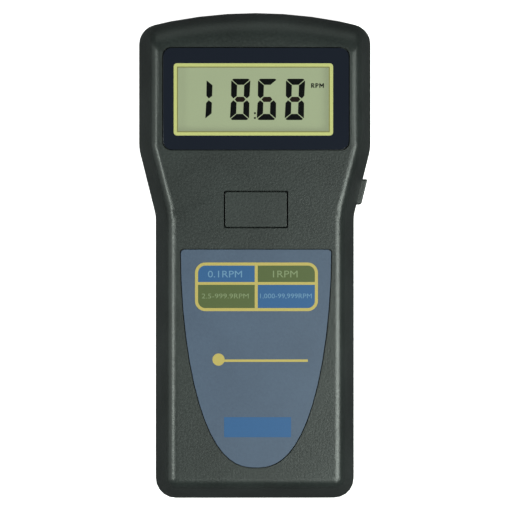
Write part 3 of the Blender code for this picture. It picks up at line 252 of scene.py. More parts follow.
def board_laminate(name, upright):
    """Glass-epoxy laminate under green solder mask: copper tracks show through as paler raised lines."""
    made = new_material(name)
    place = node(made, "ShaderNodeTexCoord").outputs["Object"]
    # Bundles of tracks 0.25 mm wide on a 1.27 mm pitch: along one side in some patches, along the other in some
    patch = node(made, "ShaderNodeTexNoise", {"Vector": place, "Scale": 1 / 0.008, "Detail": 0.0})
    bundles = []
    for axis, low, high in ((upright, 0.56, 0.565), ("X", 0.44, 0.435)):
        lines = node(
            made, "ShaderNodeTexWave", {"Vector": place, "Scale": WAVE / TRACK_PITCH, "Distortion": 0.0},
            wave_type="BANDS", bands_direction=axis,
        )
        thin = node(made, "ShaderNodeMapRange", {"Value": lines.outputs["Fac"], "From Min": 0.88, "From Max": 0.94})
        here = node(made, "ShaderNodeMapRange", {"Value": patch.outputs["Fac"], "From Min": low, "From Max": high})
        bundles.append(node(made, "ShaderNodeMath", {0: thin.outputs[0], 1: here.outputs[0]}, operation="MULTIPLY"))
    track = node(made, "ShaderNodeMath", {0: bundles[0].outputs[0], 1: bundles[1].outputs[0]}, operation="MAXIMUM")
    weave = node(made, "ShaderNodeTexNoise", {"Vector": place, "Scale": 1 / 0.0008, "Detail": 2.0})
    ground = node(
        made, "ShaderNodeMix", {"Factor": weave.outputs["Fac"], 6: linear("#123f22"), 7: linear("#1c5a31")},
        data_type="RGBA",
    )
    colour = node(
        made, "ShaderNodeMix", {"Factor": track.outputs[0], 6: ground.outputs[2], 7: linear("#2f7440")},
        data_type="RGBA",
    )
    bump = node(made, "ShaderNodeBump", {"Height": track.outputs[0], "Distance": 0.00003, "Strength": 0.7})
    return finished(made, Base_Color=colour.outputs[2], Roughness=0.34, Normal=bump.outputs[0], IOR=1.52)


def striped(name, light, dark, pitch, axis, rough):
    """Layers stacked along an axis, seen from their edges as fine stripes."""
    made = new_material(name)
    place = node(made, "ShaderNodeTexCoord").outputs["Object"]
    layers = node(
        made, "ShaderNodeTexWave", {"Vector": place, "Scale": WAVE / pitch, "Distortion": 0.3, "Detail": 1.0},
        wave_type="BANDS", bands_direction=axis,
    )
    step = node(made, "ShaderNodeMapRange", {"Value": layers.outputs["Fac"], "From Min": 0.4, "From Max": 0.6})
    colour = node(
        made, "ShaderNodeMix", {"Factor": step.outputs[0], 6: linear(dark), 7: linear(light)}, data_type="RGBA"
    )
    gloss = node(made, "ShaderNodeMapRange", {"Value": step.outputs[0], "To Min": rough + 0.08, "To Max": rough})
    bump = node(made, "ShaderNodeBump", {"Height": step.outputs[0], "Distance": 0.00001, "Strength": 0.5})
    return finished(made, Base_Color=colour.outputs[2], Roughness=gloss.outputs[0], Normal=bump.outputs[0])


def turned_metal(name, code, pitch, axis, rough):
    """Metal from a lathe: fine rings of tool marks round the axis, which draw the highlight out along it."""
    made = new_material(name)
    place = node(made, "ShaderNodeTexCoord").outputs["Object"]
    rings = node(
        made, "ShaderNodeTexWave", {"Vector": place, "Scale": WAVE / pitch, "Distortion": 0.6, "Detail": 1.0},
        wave_type="BANDS", bands_direction=axis,
    )
    base = linear(code)
    worn = (*[c * 0.78 for c in base[:3]], 1)
    colour = node(made, "ShaderNodeMix", {"Factor": rings.outputs["Fac"], 6: worn, 7: base}, data_type="RGBA")
    gloss = node(
        made, "ShaderNodeMapRange", {"Value": rings.outputs["Fac"], "To Min": rough + 0.10, "To Max": rough}
    )
    bump = node(made, "ShaderNodeBump", {"Height": rings.outputs["Fac"], "Distance": 0.00001, "Strength": 0.5})
    return finished(
        made, Base_Color=colour.outputs[2], Roughness=gloss.outputs[0], Normal=bump.outputs[0], Metallic=1.0
    )


# Conductive elastomer: insulating and carbon-filled silicone in thin layers, a dull pink strip with dark stripes.
# The real layers are 0.1 mm thick, drawn at 0.25 mm.
rubber = striped("conductive_elastomer", "#b98f86", "#2b2726", 0.0005, "X", 0.60)
# Solder mask over laminate: the boards read as dark green with pale tracks.
laminate = board_laminate("glass_epoxy_laminate", "Y")
# The same for the small board, which stands on edge.
edge_laminate = board_laminate("glass_epoxy_laminate_upright", "Z")
# Free-machining brass: warm yellow with a ring pattern. Real marks are about 0.1 mm apart, drawn at 0.25 mm.
brass = turned_metal("turned_brass", "#c79a4b", 0.00025, "Y", 0.24)

FINISHES = {
    case_abs: ["front_shell", "rear_shell", "battery_cover"],
    key_abs: ["memory_button", "test_button"],
    acrylic: ["display_lens"],
    polariser: ["lcd_panel"],
    label_film: ["front_label"],
    frame_plastic: ["lcd_frame", "sensor_header"],
    rubber: ["lcd_connector_lower", "lcd_connector_upper"],
    laminate: ["circuit_board"],
    edge_laminate: ["sensor_board"],
    epoxy: ["microcontroller", "amplifier_chip", "memory_switch", "test_switch"],
    zinc_steel: ["crystal"] + [
        f"{kind}_screw_{i}"
        for kind, count in (("case", 4), ("board", 4), ("optical", 2))
        for i in range(1, count + 1)
    ],
    nickel_steel: [
        "contact_link_lower_left", "contact_link_lower_right", "contact_link_upper", "terminal_positive",
        "terminal_negative",
    ] + [f"battery_spring_{i}" for i in range(1, 5)],
    brass: ["laser_module"],
    optic: ["receiver_lens", "laser_lens", "photo_sensor"],
    block_abs: ["optical_block"],
    capacitor_sleeve: ["capacitor"],
    cell_jacket: [f"battery_cell_{i}" for i in range(1, 5)],
    switch_plastic: ["memory_switch_plunger", "test_switch_plunger"],
}
for finish, names in FINISHES.items():
    for name in names:
        for slot in nodes[name].material_slots:
            slot.material = finish


# Mouldings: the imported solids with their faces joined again, their edges eased and their curves smooth


def eased(source, name, edge, material, body="case", degrees=35):
    """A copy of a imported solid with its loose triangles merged, its sharp edges eased and its curves smooth."""
    piece = bpy.data.objects.new(name, nodes[source].data.copy())
    bpy.context.scene.collection.objects.link(piece)
    take(piece)
    bpy.ops.object.mode_set(mode="EDIT")
    bpy.ops.mesh.select_all(action="SELECT")
    bpy.ops.mesh.remove_doubles(threshold=0.000002)
    bpy.ops.mesh.dissolve_limited(angle_limit=math.radians(0.4))
    bpy.ops.object.mode_set(mode="OBJECT")
    if edge:
        applied(
            piece, "BEVEL", width=edge, segments=2, limit_method="ANGLE", angle_limit=math.radians(degrees),
            use_clamp_overlap=True, miter_outer="MITER_ARC",
        )
    smooth(piece, degrees)
    return dressed(piece, material, body, [source])


eased("front_shell", "front_moulding", 0.00018, case_abs)
eased("rear_shell", "rear_moulding", 0.00012, case_abs)
eased("battery_cover", "cover_moulding", 0.00012, case_abs, "cover")
eased("memory_button", "memory_key_cap", 0.00020, key_abs, "memory_key")
eased("test_button", "side_key_cap", 0.00020, key_abs, "side_key")
eased("front_label", "label_plate", 0.00010, label_film)
window = eased("display_lens", "display_window", 0.00008, dark_acrylic)


# Inner parts: the same easing, finer
finish_of = {name: finish for finish, names in FINISHES.items() for name in names}
for source, edge, slot in (
    ("lcd_panel", 0.00010, "lcd_glass"),
    ("lcd_frame", 0.00012, "frame_plastic"),
    ("sensor_header", 0.00020, "frame_plastic"),
    ("lcd_connector_lower", 0.00015, "elastomer"),
    ("lcd_connector_upper", 0.00015, "elastomer"),
    ("circuit_board", 0.00006, "board_laminate"),
    ("sensor_board", 0.00006, "board_laminate"),
    ("microcontroller", 0.00010, "chip_epoxy"),
    ("amplifier_chip", 0.00010, "chip_epoxy"),
    ("memory_switch", 0.00010, "chip_epoxy"),
    ("test_switch", 0.00010, "chip_epoxy"),
    ("crystal", 0.00035, "screw_steel"),
    ("capacitor", 0.00010, "cell_jacket"),
    ("contact_link_lower_left", 0.00006, "contact_steel"),
    ("contact_link_lower_right", 0.00006, "contact_steel"),
    ("contact_link_upper", 0.00006, "contact_steel"),
    ("terminal_positive", 0.00006, "contact_steel"),
    ("terminal_negative", 0.00006, "contact_steel"),
    ("laser_module", 0.00015, "laser_brass"),
    ("optical_block", 0.00015, "block_abs"),
    ("photo_sensor", 0.00008, "optical_acrylic"),
):
    eased(source, f"{source}_piece", edge, finish_of[source])
# The plungers move with their keys
for source, body in (("memory_switch_plunger", "memory_key"), ("test_switch_plunger", "side_key")):
    eased(source, f"{source}_piece", 0.00015, switch_plastic, body)


# Screws, springs, cells, leads and lenses: modelled once at the origin, then copied into place


def placed(master, name, matrix):
    """A copy with its own mesh, its place in the mesh."""
    made = bpy.data.objects.new(name, master.data.copy())
    bpy.context.scene.collection.objects.link(made)
    made.matrix_world = matrix
    return settle(made, name)


def joined(first, *others):
    take(first)
    for other in others:
        other.select_set(True)
    bpy.ops.object.join()
    return first


def lead_model(rise, width, thickness=0.00015):
    """A gull-wing lead on +X: shoulder out of the package, slanted leg up to the board, flat foot."""
    deselect()
    bpy.ops.mesh.primitive_cube_add(size=1, location=(0.0001, 0, -rise - thickness / 2))
    piece = bpy.context.object
    piece.scale = (0.0005, width, thickness)
    settle(piece, "lead_model")
    bpy.ops.object.mode_set(mode="EDIT")
    select(piece, "faces", lambda face: face.normal.x > 0.9)
    bpy.ops.mesh.extrude_region_move(TRANSFORM_OT_translate={"value": (0.00018, 0, rise - 0.00002)})
    bpy.ops.mesh.extrude_region_move(TRANSFORM_OT_translate={"value": (0.00040, 0, 0)})
    bpy.ops.object.mode_set(mode="OBJECT")
    applied(piece, "BEVEL", width=0.00003, segments=2, limit_method="ANGLE", angle_limit=math.radians(30))
    return smooth(piece, 40)


board_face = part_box("circuit_board")[0].z
for source, pitch, sides in (("microcontroller", 0.0008, 4), ("amplifier_chip", 0.00127, 2)):
    low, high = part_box(source)
    middle = (low + high) / 2
    master = lead_model(board_face - middle.z, pitch * 0.42)
    half = ((high.x - low.x) / 2, (high.y - low.y) / 2)
    turned = 0 if sides == 4 or half[1] >= half[0] else 1
    leads = []
    for side in range(0, 4, 4 // sides):
        out, along = half if (side + turned) % 2 == 0 else half[::-1]
        turn = Matrix.Rotation((side + turned) * math.pi / 2, 4, "Z")
        count = int((2 * along - 0.0008) / pitch) + 1
        for i in range(count):
            step = (i - (count - 1) / 2) * pitch
            centre = Matrix.Translation((middle.x, middle.y, board_face))
            leads.append(placed(master, f"{source}_lead", centre @ turn @ Matrix.Translation((out, step, 0))))
    row = joined(*leads)
    row.name = row.data.name = f"{source}_leads"
    dressed(row, nickel_steel)
    bpy.data.objects.remove(master, do_unlink=True)


def screw_model(head_radius, head_height, radius, length, pitch):
    """A pan-head screw that points up: domed head, cross recess, tapered core and a rolled thread."""
    core = radius * 0.76
    deselect()
    bpy.ops.mesh.primitive_cylinder_add(
        vertices=32, radius=head_radius, depth=head_height, location=(0, 0, head_height / 2)
    )
    piece = settle(bpy.context.object, "screw_model")
    bpy.ops.object.mode_set(mode="EDIT")
    select(piece, "faces", lambda face: face.normal.z > 0.9)
    bpy.ops.mesh.inset(thickness=head_radius - core)
    bpy.ops.mesh.extrude_region_move(TRANSFORM_OT_translate={"value": (0, 0, length - radius)})
    bpy.ops.mesh.extrude_region_move(TRANSFORM_OT_translate={"value": (0, 0, radius)})
    bpy.ops.transform.resize(value=(0.15, 0.15, 1), center_override=(0, 0, head_height + length))
    points = piece.data.vertices
    select(piece, "edges", lambda edge: all(points[v].co.z < 0.000001 for v in edge.vertices))
    bpy.ops.mesh.bevel(offset=head_height * 0.5, segments=4)
    bpy.ops.object.mode_set(mode="OBJECT")
    for turn in (0, math.pi / 2):
        deselect()
        bpy.ops.mesh.primitive_cube_add(size=1, location=(0, 0, 0), rotation=(0, 0, turn))
        slot = bpy.context.object
        slot.scale = (head_radius * 1.15, head_radius * 0.26, head_height * 1.1)
        settle(slot, "cross_slot")
        bpy.ops.object.mode_set(mode="EDIT")
        select(slot, "faces", lambda face: face.normal.z > 0.9)
        bpy.ops.transform.resize(value=(0.5, 0.5, 1), center_override=(0, 0, head_height * 0.55))
        applied(piece, "BOOLEAN", operation="DIFFERENCE", object=slot, solver="EXACT")
        bpy.data.objects.remove(slot, do_unlink=True)
    deselect()
    bpy.ops.mesh.primitive_circle_add(vertices=3, radius=radius - core, fill_type="NOTHING")
    thread = bpy.context.object
    corners = ((core * 0.94, -pitch * 0.3), (radius, 0), (core * 0.94, pitch * 0.3))
    for vertex, (x, z) in zip(thread.data.vertices, corners):
        vertex.co = (x, 0, z)
    turns = int((length - radius - pitch) / pitch)
    applied(thread, "SCREW", axis="Z", screw_offset=pitch, iterations=turns, steps=20, render_steps=20)
    thread.location.z = head_height + pitch * 0.6
    settle(thread)
    bpy.ops.object.mode_set(mode="EDIT")
    bpy.ops.mesh.select_all(action="SELECT")
    bpy.ops.mesh.fill_holes(sides=3)
    bpy.ops.mesh.normals_make_consistent(inside=False)
    bpy.ops.object.mode_set(mode="OBJECT")
    return smooth(joined(piece, thread), 40)


for kind, count, head_radius, head_height, radius, length, pitch, up in (
    ("case_screw", 4, 0.0026, 0.0020, 0.00145, 0.0160, 0.0011, True),
    ("board_screw", 4, 0.0022, 0.0014, 0.0011, 0.0058, 0.0008, True),
    ("optical_screw", 2, 0.0020, 0.0014, 0.0011, 0.0050, 0.0008, False),
):
    master = screw_model(head_radius, head_height, radius, length, pitch)
    for i in range(1, count + 1):
        low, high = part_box(f"{kind}_{i}")
        middle = (low + high) / 2
        if up:
            matrix = Matrix.Translation((middle.x, middle.y, low.z))
        else:
            matrix = Matrix.Translation((middle.x, middle.y, high.z)) @ Matrix.Rotation(math.pi, 4, "X")
        screw = placed(master, f"{kind}_{i}_piece", matrix)
        dressed(screw, zinc_steel, replaces=[f"{kind}_{i}"])
    bpy.data.objects.remove(master, do_unlink=True)


WIRE_RADIUS = 0.00035
SPRING_RISE, SPRING_SEAT, SPRING_TAPER = 0.0035, 0.0042, 0.0020


def spring_model():
    """A conical spring on +Y, wide at its seat: three turns of wire, its first turn lying nearly flat."""
    turns, steps = 3, 32
    curve = bpy.data.curves.new("spring_model", "CURVE")
    curve.dimensions = "3D"
    curve.bevel_depth = WIRE_RADIUS
    curve.bevel_resolution = 3
    curve.use_fill_caps = True
    line = curve.splines.new("POLY")
    line.points.add(turns * steps)
    for step, point in enumerate(line.points):
        share = step / (turns * steps)
        radius = SPRING_SEAT - SPRING_TAPER * share
        angle = 2 * math.pi * step / steps
        point.co = (radius * math.cos(angle), SPRING_RISE * share ** 1.2, radius * math.sin(angle), 1)
    made = bpy.data.objects.new("spring_model", curve)
    bpy.context.scene.collection.objects.link(made)
    take(made)
    bpy.ops.object.convert(target="MESH")
    return smooth(bpy.context.object, 60)


master = spring_model()
for i in range(1, 5):
    low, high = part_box(f"battery_spring_{i}")
    cell_low, cell_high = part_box(f"battery_cell_{i}")
    middle = (cell_low + cell_high) / 2
    if i % 2:
        matrix = Matrix.Translation((middle.x, low.y + WIRE_RADIUS, middle.z))
    else:
        matrix = Matrix.Translation((middle.x, high.y - WIRE_RADIUS, middle.z)) @ Matrix.Rotation(math.pi, 4, "Z")
    spring = placed(master, f"battery_spring_{i}_piece", matrix)
    dressed(spring, nickel_steel, replaces=[f"battery_spring_{i}"])
bpy.data.objects.remove(master, do_unlink=True)


def drum(name, radius, low, high, edge=0.0, vertices=48, segments=3):
    """A round block on Z with both rims rounded over."""
    deselect()
    bpy.ops.mesh.primitive_cylinder_add(
        vertices=vertices, radius=radius, depth=high - low, location=(0, 0, (low + high) / 2)
    )
    piece = settle(bpy.context.object, name)
    if edge:
        applied(piece, "BEVEL", width=edge, segments=segments, limit_method="ANGLE", angle_limit=math.radians(40))
    return piece


CELL_RADIUS, CELL_BODY, CELL_NUB = 0.00725, 0.0495, 0.0505
CELL_BASE_RADIUS, CELL_WASHER_RADIUS, CELL_NUB_RADIUS = 0.0056, 0.0057, 0.00275
CELL_RIM, CELL_RECESS, CELL_SEAT = 0.0010, 0.0003, 0.0004
BAND_HEIGHT, BAND_MIDDLE = 0.0095, 0.0435


def cell_jacket_model():
    """The film round a cell: its ends shrink over the rims and leave a shallow round recess at each end."""
    piece = drum("cell_jacket_model", CELL_RADIUS, 0, CELL_BODY, 0.0005, 64)
    bpy.ops.object.mode_set(mode="EDIT")
    for side in (-1, 1):
        select(piece, "faces", lambda face: face.normal.z * side > 0.99)
        bpy.ops.mesh.inset(thickness=CELL_RIM)
        bpy.ops.mesh.extrude_region_move(TRANSFORM_OT_translate={"value": (0, 0, -side * CELL_RECESS)})
    bpy.ops.object.mode_set(mode="OBJECT")
    return smooth(piece, 40)


def cell_ends_model():
    """The bare metal: a dished disc at the base, and a washer's disc with the nub on the other end."""
    base = drum("cell_ends_model", CELL_BASE_RADIUS, 0.00005, 0.0005, 0.0001)
    bpy.ops.object.mode_set(mode="EDIT")
    select(base, "faces", lambda face: face.normal.z < -0.99)
    bpy.ops.mesh.inset(thickness=0.0012)
    bpy.ops.mesh.extrude_region_move(TRANSFORM_OT_translate={"value": (0, 0, 0.00012)})
    bpy.ops.transform.resize(value=(0.92, 0.92, 1), center_override=(0, 0, 0.00017))
    bpy.ops.object.mode_set(mode="OBJECT")
    nub = drum("nub", CELL_NUB_RADIUS, CELL_BODY - CELL_SEAT, CELL_NUB, 0.00035, 40, 4)
    return smooth(joined(base, nub), 40)


def cell_washer_model():
    """The insulating disc round the nub, with a step down to it."""
    washer = drum("cell_washer_model", CELL_WASHER_RADIUS, CELL_BODY - CELL_SEAT, CELL_BODY - 0.00008, 0.00008)
    bpy.ops.object.mode_set(mode="EDIT")
    select(washer, "faces", lambda face: face.normal.z > 0.99)
    bpy.ops.mesh.inset(thickness=0.0024)
    bpy.ops.mesh.extrude_region_move(TRANSFORM_OT_translate={"value": (0, 0, -0.0001)})
    bpy.ops.object.mode_set(mode="OBJECT")
    return smooth(washer, 40)


def cell_print_model(jacket):
    """A dark band at the nub's end, and a plus and a minus on the side that faces the cover."""
    deselect()
    bpy.ops.mesh.primitive_cylinder_add(
        vertices=64, radius=CELL_RADIUS + 0.00004, depth=BAND_HEIGHT, location=(0, 0, BAND_MIDDLE),
        end_fill_type="NOTHING",
    )
    band = settle(bpy.context.object, "cell_print_model")
    applied(band, "SOLIDIFY", thickness=0.00003, offset=-1)
    marks = []
    for z, width, height in ((0.0345, 0.0032, 0.0008), (0.0345, 0.0008, 0.0032), (0.0060, 0.0032, 0.0008)):
        deselect()
        bpy.ops.mesh.primitive_grid_add(
            x_subdivisions=12, y_subdivisions=12, size=1, location=(0, CELL_RADIUS + 0.0002, z),
            rotation=(-math.pi / 2, 0, 0),
        )
        mark = bpy.context.object
        mark.scale = (width, height, 1)
        settle(mark, "mark")
        applied(mark, "SHRINKWRAP", target=jacket, offset=0.00003 + 0.00001 * len(marks))
        marks.append(applied(mark, "SOLIDIFY", thickness=0.00002, offset=1))
    return smooth(joined(band, *marks), 40)


jacket_model = cell_jacket_model()
models = (
    ("jacket", jacket_model, cell_jacket, "cell_jacket"),
    ("ends", cell_ends_model(), nickel_steel, "contact_steel"),
    ("washer", cell_washer_model(), washer_board, "cell_jacket"),
    ("print", cell_print_model(jacket_model), cell_ink, "cell_jacket"),
)
for i in range(1, 5):
    low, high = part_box(f"battery_cell_{i}")
    middle = (low + high) / 2
    if i % 2:
        matrix = Matrix.Translation((middle.x, low.y, middle.z)) @ Matrix.Rotation(-math.pi / 2, 4, "X")
    else:
        matrix = Matrix.Translation((middle.x, high.y, middle.z)) @ Matrix.Rotation(math.pi / 2, 4, "X")
        matrix = matrix @ Matrix.Rotation(math.pi, 4, "Z")
    for part, model, finish, slot in models:
        piece = placed(model, f"battery_cell_{i}_{part}", matrix)
        dressed(piece, finish, replaces=[f"battery_cell_{i}"] if part == "jacket" else ())
for part, model, finish, slot in models:
    bpy.data.objects.remove(model, do_unlink=True)


def lens_model(source, bulge):
    """A plano-convex lens on +Y: the cap of a sphere, cut off flat and carried back to the flat face."""
    low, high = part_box(source)
    radius = (high.x - low.x) / 2
    sphere = (radius * radius + bulge * bulge) / (2 * bulge)
    deselect()
    bpy.ops.mesh.primitive_uv_sphere_add(segments=48, ring_count=64, radius=sphere, location=(0, 0, 0))
    piece = settle(bpy.context.object, f"{source}_piece")
    bpy.ops.object.mode_set(mode="EDIT")
    bpy.ops.mesh.select_all(action="SELECT")
    bpy.ops.mesh.bisect(
        plane_co=(0, 0, sphere - bulge), plane_no=(0, 0, 1), clear_inner=True, use_fill=True
    )
    select(piece, "faces", lambda face: face.normal.z < -0.99)
    bpy.ops.mesh.extrude_region_move(TRANSFORM_OT_translate={"value": (0, 0, -(high.y - low.y - bulge))})
    bpy.ops.object.mode_set(mode="OBJECT")
    middle = (low + high) / 2
    piece.matrix_world = (
        Matrix.Translation((middle.x, high.y - sphere, middle.z)) @ Matrix.Rotation(-math.pi / 2, 4, "X")
    )
    settle(piece)
    smooth(piece, 40)
    return dressed(piece, optic, replaces=[source])


lens_model("receiver_lens", 0.0012)
lens_model("laser_lens", 0.0005)


# Printing: thin films of ink, each a flat shape with a real edge; the olive ring inside the display's border is
# painted shade, not ink


def film(name, x, y, width, height, low, thickness, radius, material, slot, border=0.0):
    """A rectangle of ink with rounded corners. With a border it is an open frame of that line width."""
    deselect()
    bpy.ops.mesh.primitive_plane_add(size=1, location=(x, y, low))
    piece = bpy.context.object
    piece.scale = (width, height, 1)
    settle(piece, name)
    if radius:
        bpy.ops.object.mode_set(mode="EDIT")
        bpy.ops.mesh.select_all(action="SELECT")
        bpy.ops.mesh.bevel(offset=radius, segments=10, affect="VERTICES", offset_type="OFFSET", clamp_overlap=True)
        bpy.ops.object.mode_set(mode="OBJECT")
    applied(piece, "SOLIDIFY", thickness=thickness, offset=1)
    if border:
        middle = film(name + "_middle", x, y, width - 2 * border, height - 2 * border, low - thickness,
                      3 * thickness, max(radius - border, 0.00025), material, slot)
        applied(piece, "BOOLEAN", operation="DIFFERENCE", object=middle, solver="EXACT")
        bpy.data.objects.remove(middle, do_unlink=True)
    return dressed(piece, material, "case")


def cut_film(name, points, low, thickness, material):
    """A shape of ink with straight sides, from its corners."""
    deselect()
    bpy.ops.mesh.primitive_circle_add(vertices=len(points), radius=0.001, fill_type="NGON")
    piece = bpy.context.object
    for vertex, (x, y) in zip(piece.data.vertices, points):
        vertex.co = (x, y, low)
    settle(piece, name)
    bpy.ops.object.mode_set(mode="EDIT")
    bpy.ops.mesh.select_all(action="SELECT")
    bpy.ops.mesh.normals_make_consistent(inside=False)
    bpy.ops.object.mode_set(mode="OBJECT")
    if piece.data.polygons[0].normal.z < 0:
        bpy.ops.object.mode_set(mode="EDIT")
        bpy.ops.mesh.flip_normals()
        bpy.ops.object.mode_set(mode="OBJECT")
    applied(piece, "SOLIDIFY", thickness=thickness, offset=1)
    return dressed(piece, material, "case")


def lettering(name, text, x, y, width, height, low, thickness, material):
    """Printed figures, stretched to a width and a height and made a mesh."""
    deselect()
    bpy.ops.object.text_add(location=(0, 0, 0))
    piece = bpy.context.object
    piece.data.body = text
    piece.data.resolution_u = 3
    piece.data.align_x = "LEFT"
    take(piece)
    bpy.ops.object.convert(target="MESH")
    piece = bpy.context.object
    low_x, high_x = min(v.co.x for v in piece.data.vertices), max(v.co.x for v in piece.data.vertices)
    low_y, high_y = min(v.co.y for v in piece.data.vertices), max(v.co.y for v in piece.data.vertices)
    piece.data.transform(Matrix.Translation((-(low_x + high_x) / 2, -(low_y + high_y) / 2, 0)))
    piece.scale = (width / (high_x - low_x), height / (high_y - low_y), 1)
    piece.location = (x, y, low)
    settle(piece, name)
    bpy.ops.object.mode_set(mode="EDIT")
    bpy.ops.mesh.select_all(action="SELECT")
    bpy.ops.mesh.remove_doubles(threshold=0.000001)
    bpy.ops.object.mode_set(mode="OBJECT")
    applied(piece, "SOLIDIFY", thickness=thickness, offset=1)
    return dressed(piece, material, "case")


INK = 0.00004
lens_low, lens_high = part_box("display_lens")
glass_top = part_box("lcd_panel")[1].z
label_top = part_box("front_label")[1].z

# The window's clear middle, with the pale border printed just under its polished face
MIDDLE_X, MIDDLE_Y, MIDDLE_W, MIDDLE_H = -0.00086, 0.05122, 0.0524, 0.02374
MIDDLE_RADIUS, BORDER, SHADE_LINE_WIDTH, BORDER_SINK = 0.0011, 0.00105, 0.0004, 0.00015
opening = film("window_opening", MIDDLE_X, MIDDLE_Y, MIDDLE_W, MIDDLE_H, lens_low.z - 0.001, 0.003, MIDDLE_RADIUS,
               acrylic, "display_acrylic")
applied(window, "BOOLEAN", operation="DIFFERENCE", object=opening, solver="EXACT")
smooth(window)
bpy.data.objects.remove(opening, do_unlink=True)
film("window_pane", MIDDLE_X, MIDDLE_Y, MIDDLE_W - 0.00002, MIDDLE_H - 0.00002, lens_low.z,
     lens_high.z - lens_low.z, MIDDLE_RADIUS, acrylic, "display_acrylic")
# The second film is no print: a thin olive ring of painted shade just inside the pale border.
for name, less, thickness, radius, ink, border in (
    ("window_border", 0.00006, INK, 0.00107, border_ink, BORDER),
    ("window_painted_shade_line", 0.0021, 0.7 * INK, 0.0003, recess_shade_paint, SHADE_LINE_WIDTH),
):
    film(name, MIDDLE_X, MIDDLE_Y, MIDDLE_W - less, MIDDLE_H - less, lens_high.z - BORDER_SINK, thickness, radius,
         ink, "display_acrylic", border=border)

# The figures on the display
WIDE, TALL, STROKE, GAP, LEAN = 0.00630, 0.01357, 0.00200, 0.00016, 0.034
FIGURES_Y, UNIT_Y = 0.0513, 0.0551
half_w, half_h = WIDE / 2, TALL / 2
top_bar = [
    (-half_w + GAP + 0.0006, half_h), (half_w - GAP - 0.0006, half_h), (half_w - GAP - 0.0001, half_h - 0.00035),
    (half_w - STROKE - GAP, half_h - STROKE), (-half_w + STROKE + GAP, half_h - STROKE),
    (-half_w + GAP + 0.0001, half_h - 0.00035),
]
upper_right = [
    (half_w, half_h - GAP - 0.0006), (half_w - 0.0001, 0.0012), (half_w - 0.0009, 0.0003),
    (half_w - STROKE, 0.0011), (half_w - STROKE, half_h - STROKE - GAP), (half_w - 0.0001, half_h - GAP - 0.00045),
]
STROKES = {
    "a": top_bar,
    "b": upper_right,
    "c": [(x, -y) for x, y in upper_right],
    "d": [(x, -y) for x, y in top_bar],
    "e": [(-x, -y) for x, y in upper_right],
    "f": [(-x, y) for x, y in upper_right],
    "g": [
        (-0.0018, 0), (-0.0011, 0.00084), (0.0011, 0.00084), (0.0018, 0), (0.0011, -0.00084), (-0.0011, -0.00084),
    ],
}
FIGURES = (
    ("one", -0.01322, "ef"), ("eight", -0.00512, "abcdefg"), ("six", 0.00368, "acdefg"),
    ("last_eight", 0.01288, "abcdefg"),
)
for figure, centre, lit in FIGURES:
    for letter in lit:
        points = [(centre + x + y * LEAN, FIGURES_Y + y) for x, y in STROKES[letter]]
        ink = stroke_mid if letter == "g" else stroke_on
        cut_film(f"figure_{figure}_{letter}", points, glass_top, INK, ink)
for i, y in enumerate((0.04675, 0.0452)):
    film(f"figure_dot_{i + 1}", -0.00028, y, 0.0006, 0.0006, glass_top, INK, 0.0001, stroke_on, "lcd_glass")
# The unit beside the figures, RPM, from straight strokes 0.3 mm wide as on the glass. Each letter has its left
# edge, its upright strokes as rectangles, and its slanted ones as corners.
BOWL = [
    (0, 0, 0.00038, 0.0015), (0.00038, 0.00118, 0.0008, 0.0015), (0.0007, 0.0008, 0.00105, 0.0013),
    (0.00038, 0.0005, 0.0008, 0.00084),
]
UNIT = {
    "r": (0.0182, BOWL, [((0.0004, 0.0006), (0.0008, 0.0006), (0.0012, 0), (0.00078, 0))]),
    "p": (0.0196, BOWL, []),
    "m": (0.0209, [(0, 0, 0.00036, 0.0015), (0.00114, 0, 0.0015, 0.0015)],
          [((0.0003, 0.0015), (0.0003, 0.0009), (0.00075, 0.0003), (0.00075, 0.0009)),
           ((0.0012, 0.0015), (0.0012, 0.0009), (0.00075, 0.0003), (0.00075, 0.0009))]),
}
for letter, (x, bars, slants) in UNIT.items():
    shapes = [((x0, y0), (x1, y0), (x1, y1), (x0, y1)) for x0, y0, x1, y1 in bars] + slants
    for i, shape in enumerate(shapes):
        points = [(x + px, UNIT_Y + py) for px, py in shape]
        cut_film(f"unit_{letter}_{i + 1}", points, glass_top, INK * (1 + i * 0.1), stroke_on)

# The label's table of ranges, the beam mark and the plain blue field
film("table_border", 0.00015, -0.01028, 0.04035, 0.01596, label_top, 2 * INK, 0.0034, line_ink, "label_film",
     border=0.0010)
film("table_upright", 0.00007, -0.01028, 0.0010, 0.0148, label_top, 1.6 * INK, 0, line_ink, "label_film")
film("table_bar", 0.00015, -0.00917, 0.0392, 0.0009, label_top, 1.3 * INK, 0, line_ink, "label_film")
left, middle_x, right = -0.0192, 0.00007, 0.0195
top, middle_y, bottom = -0.0031, -0.00917, -0.0175
for name, x0, x1, y0, y1, ink in (
    ("field_upper_left", left, middle_x, top, middle_y, blue_ink),
    ("field_upper_right", middle_x, right, top, middle_y, green_ink),
    ("field_lower_left", left, middle_x, middle_y, bottom, green_ink),
    ("field_lower_right", middle_x, right, middle_y, bottom, blue_ink),
):
    film(name, (x0 + x1) / 2, (y0 + y1) / 2, x1 - x0, y0 - y1, label_top, INK, 0, ink, "label_film")
for name, text, x, y, width, height, ink in (
    ("range_fine", "0.1RPM", -0.01019, -0.00610, 0.0112, 0.0022, pale_blue_ink),
    ("range_coarse", "1RPM", 0.0096, -0.00608, 0.0081, 0.0022, pale_green_ink),
    ("range_low", "2.5-999.9RPM", -0.0101, -0.0133, 0.0154, 0.0016, pale_green_ink),
    ("range_high", "1,000-99,999RPM", 0.0098, -0.0134, 0.0170, 0.0018, pale_blue_ink),
):
    lettering(name, text, x, y, width, height, label_top + INK, INK, ink)
film("beam_dot", -0.0123, -0.03415, 0.00400, 0.00400, label_top, INK, 0.00199, line_ink, "label_film")
film("beam_line", 0.0028, -0.03452, 0.0284, 0.00080, label_top, 0.8 * INK, 0, line_ink, "label_film")
film("plain_field", 0.00052, -0.05635, 0.0220, 0.0066, label_top, INK, 0.0002, blue_ink, "label_film")


# Stage, light and camera

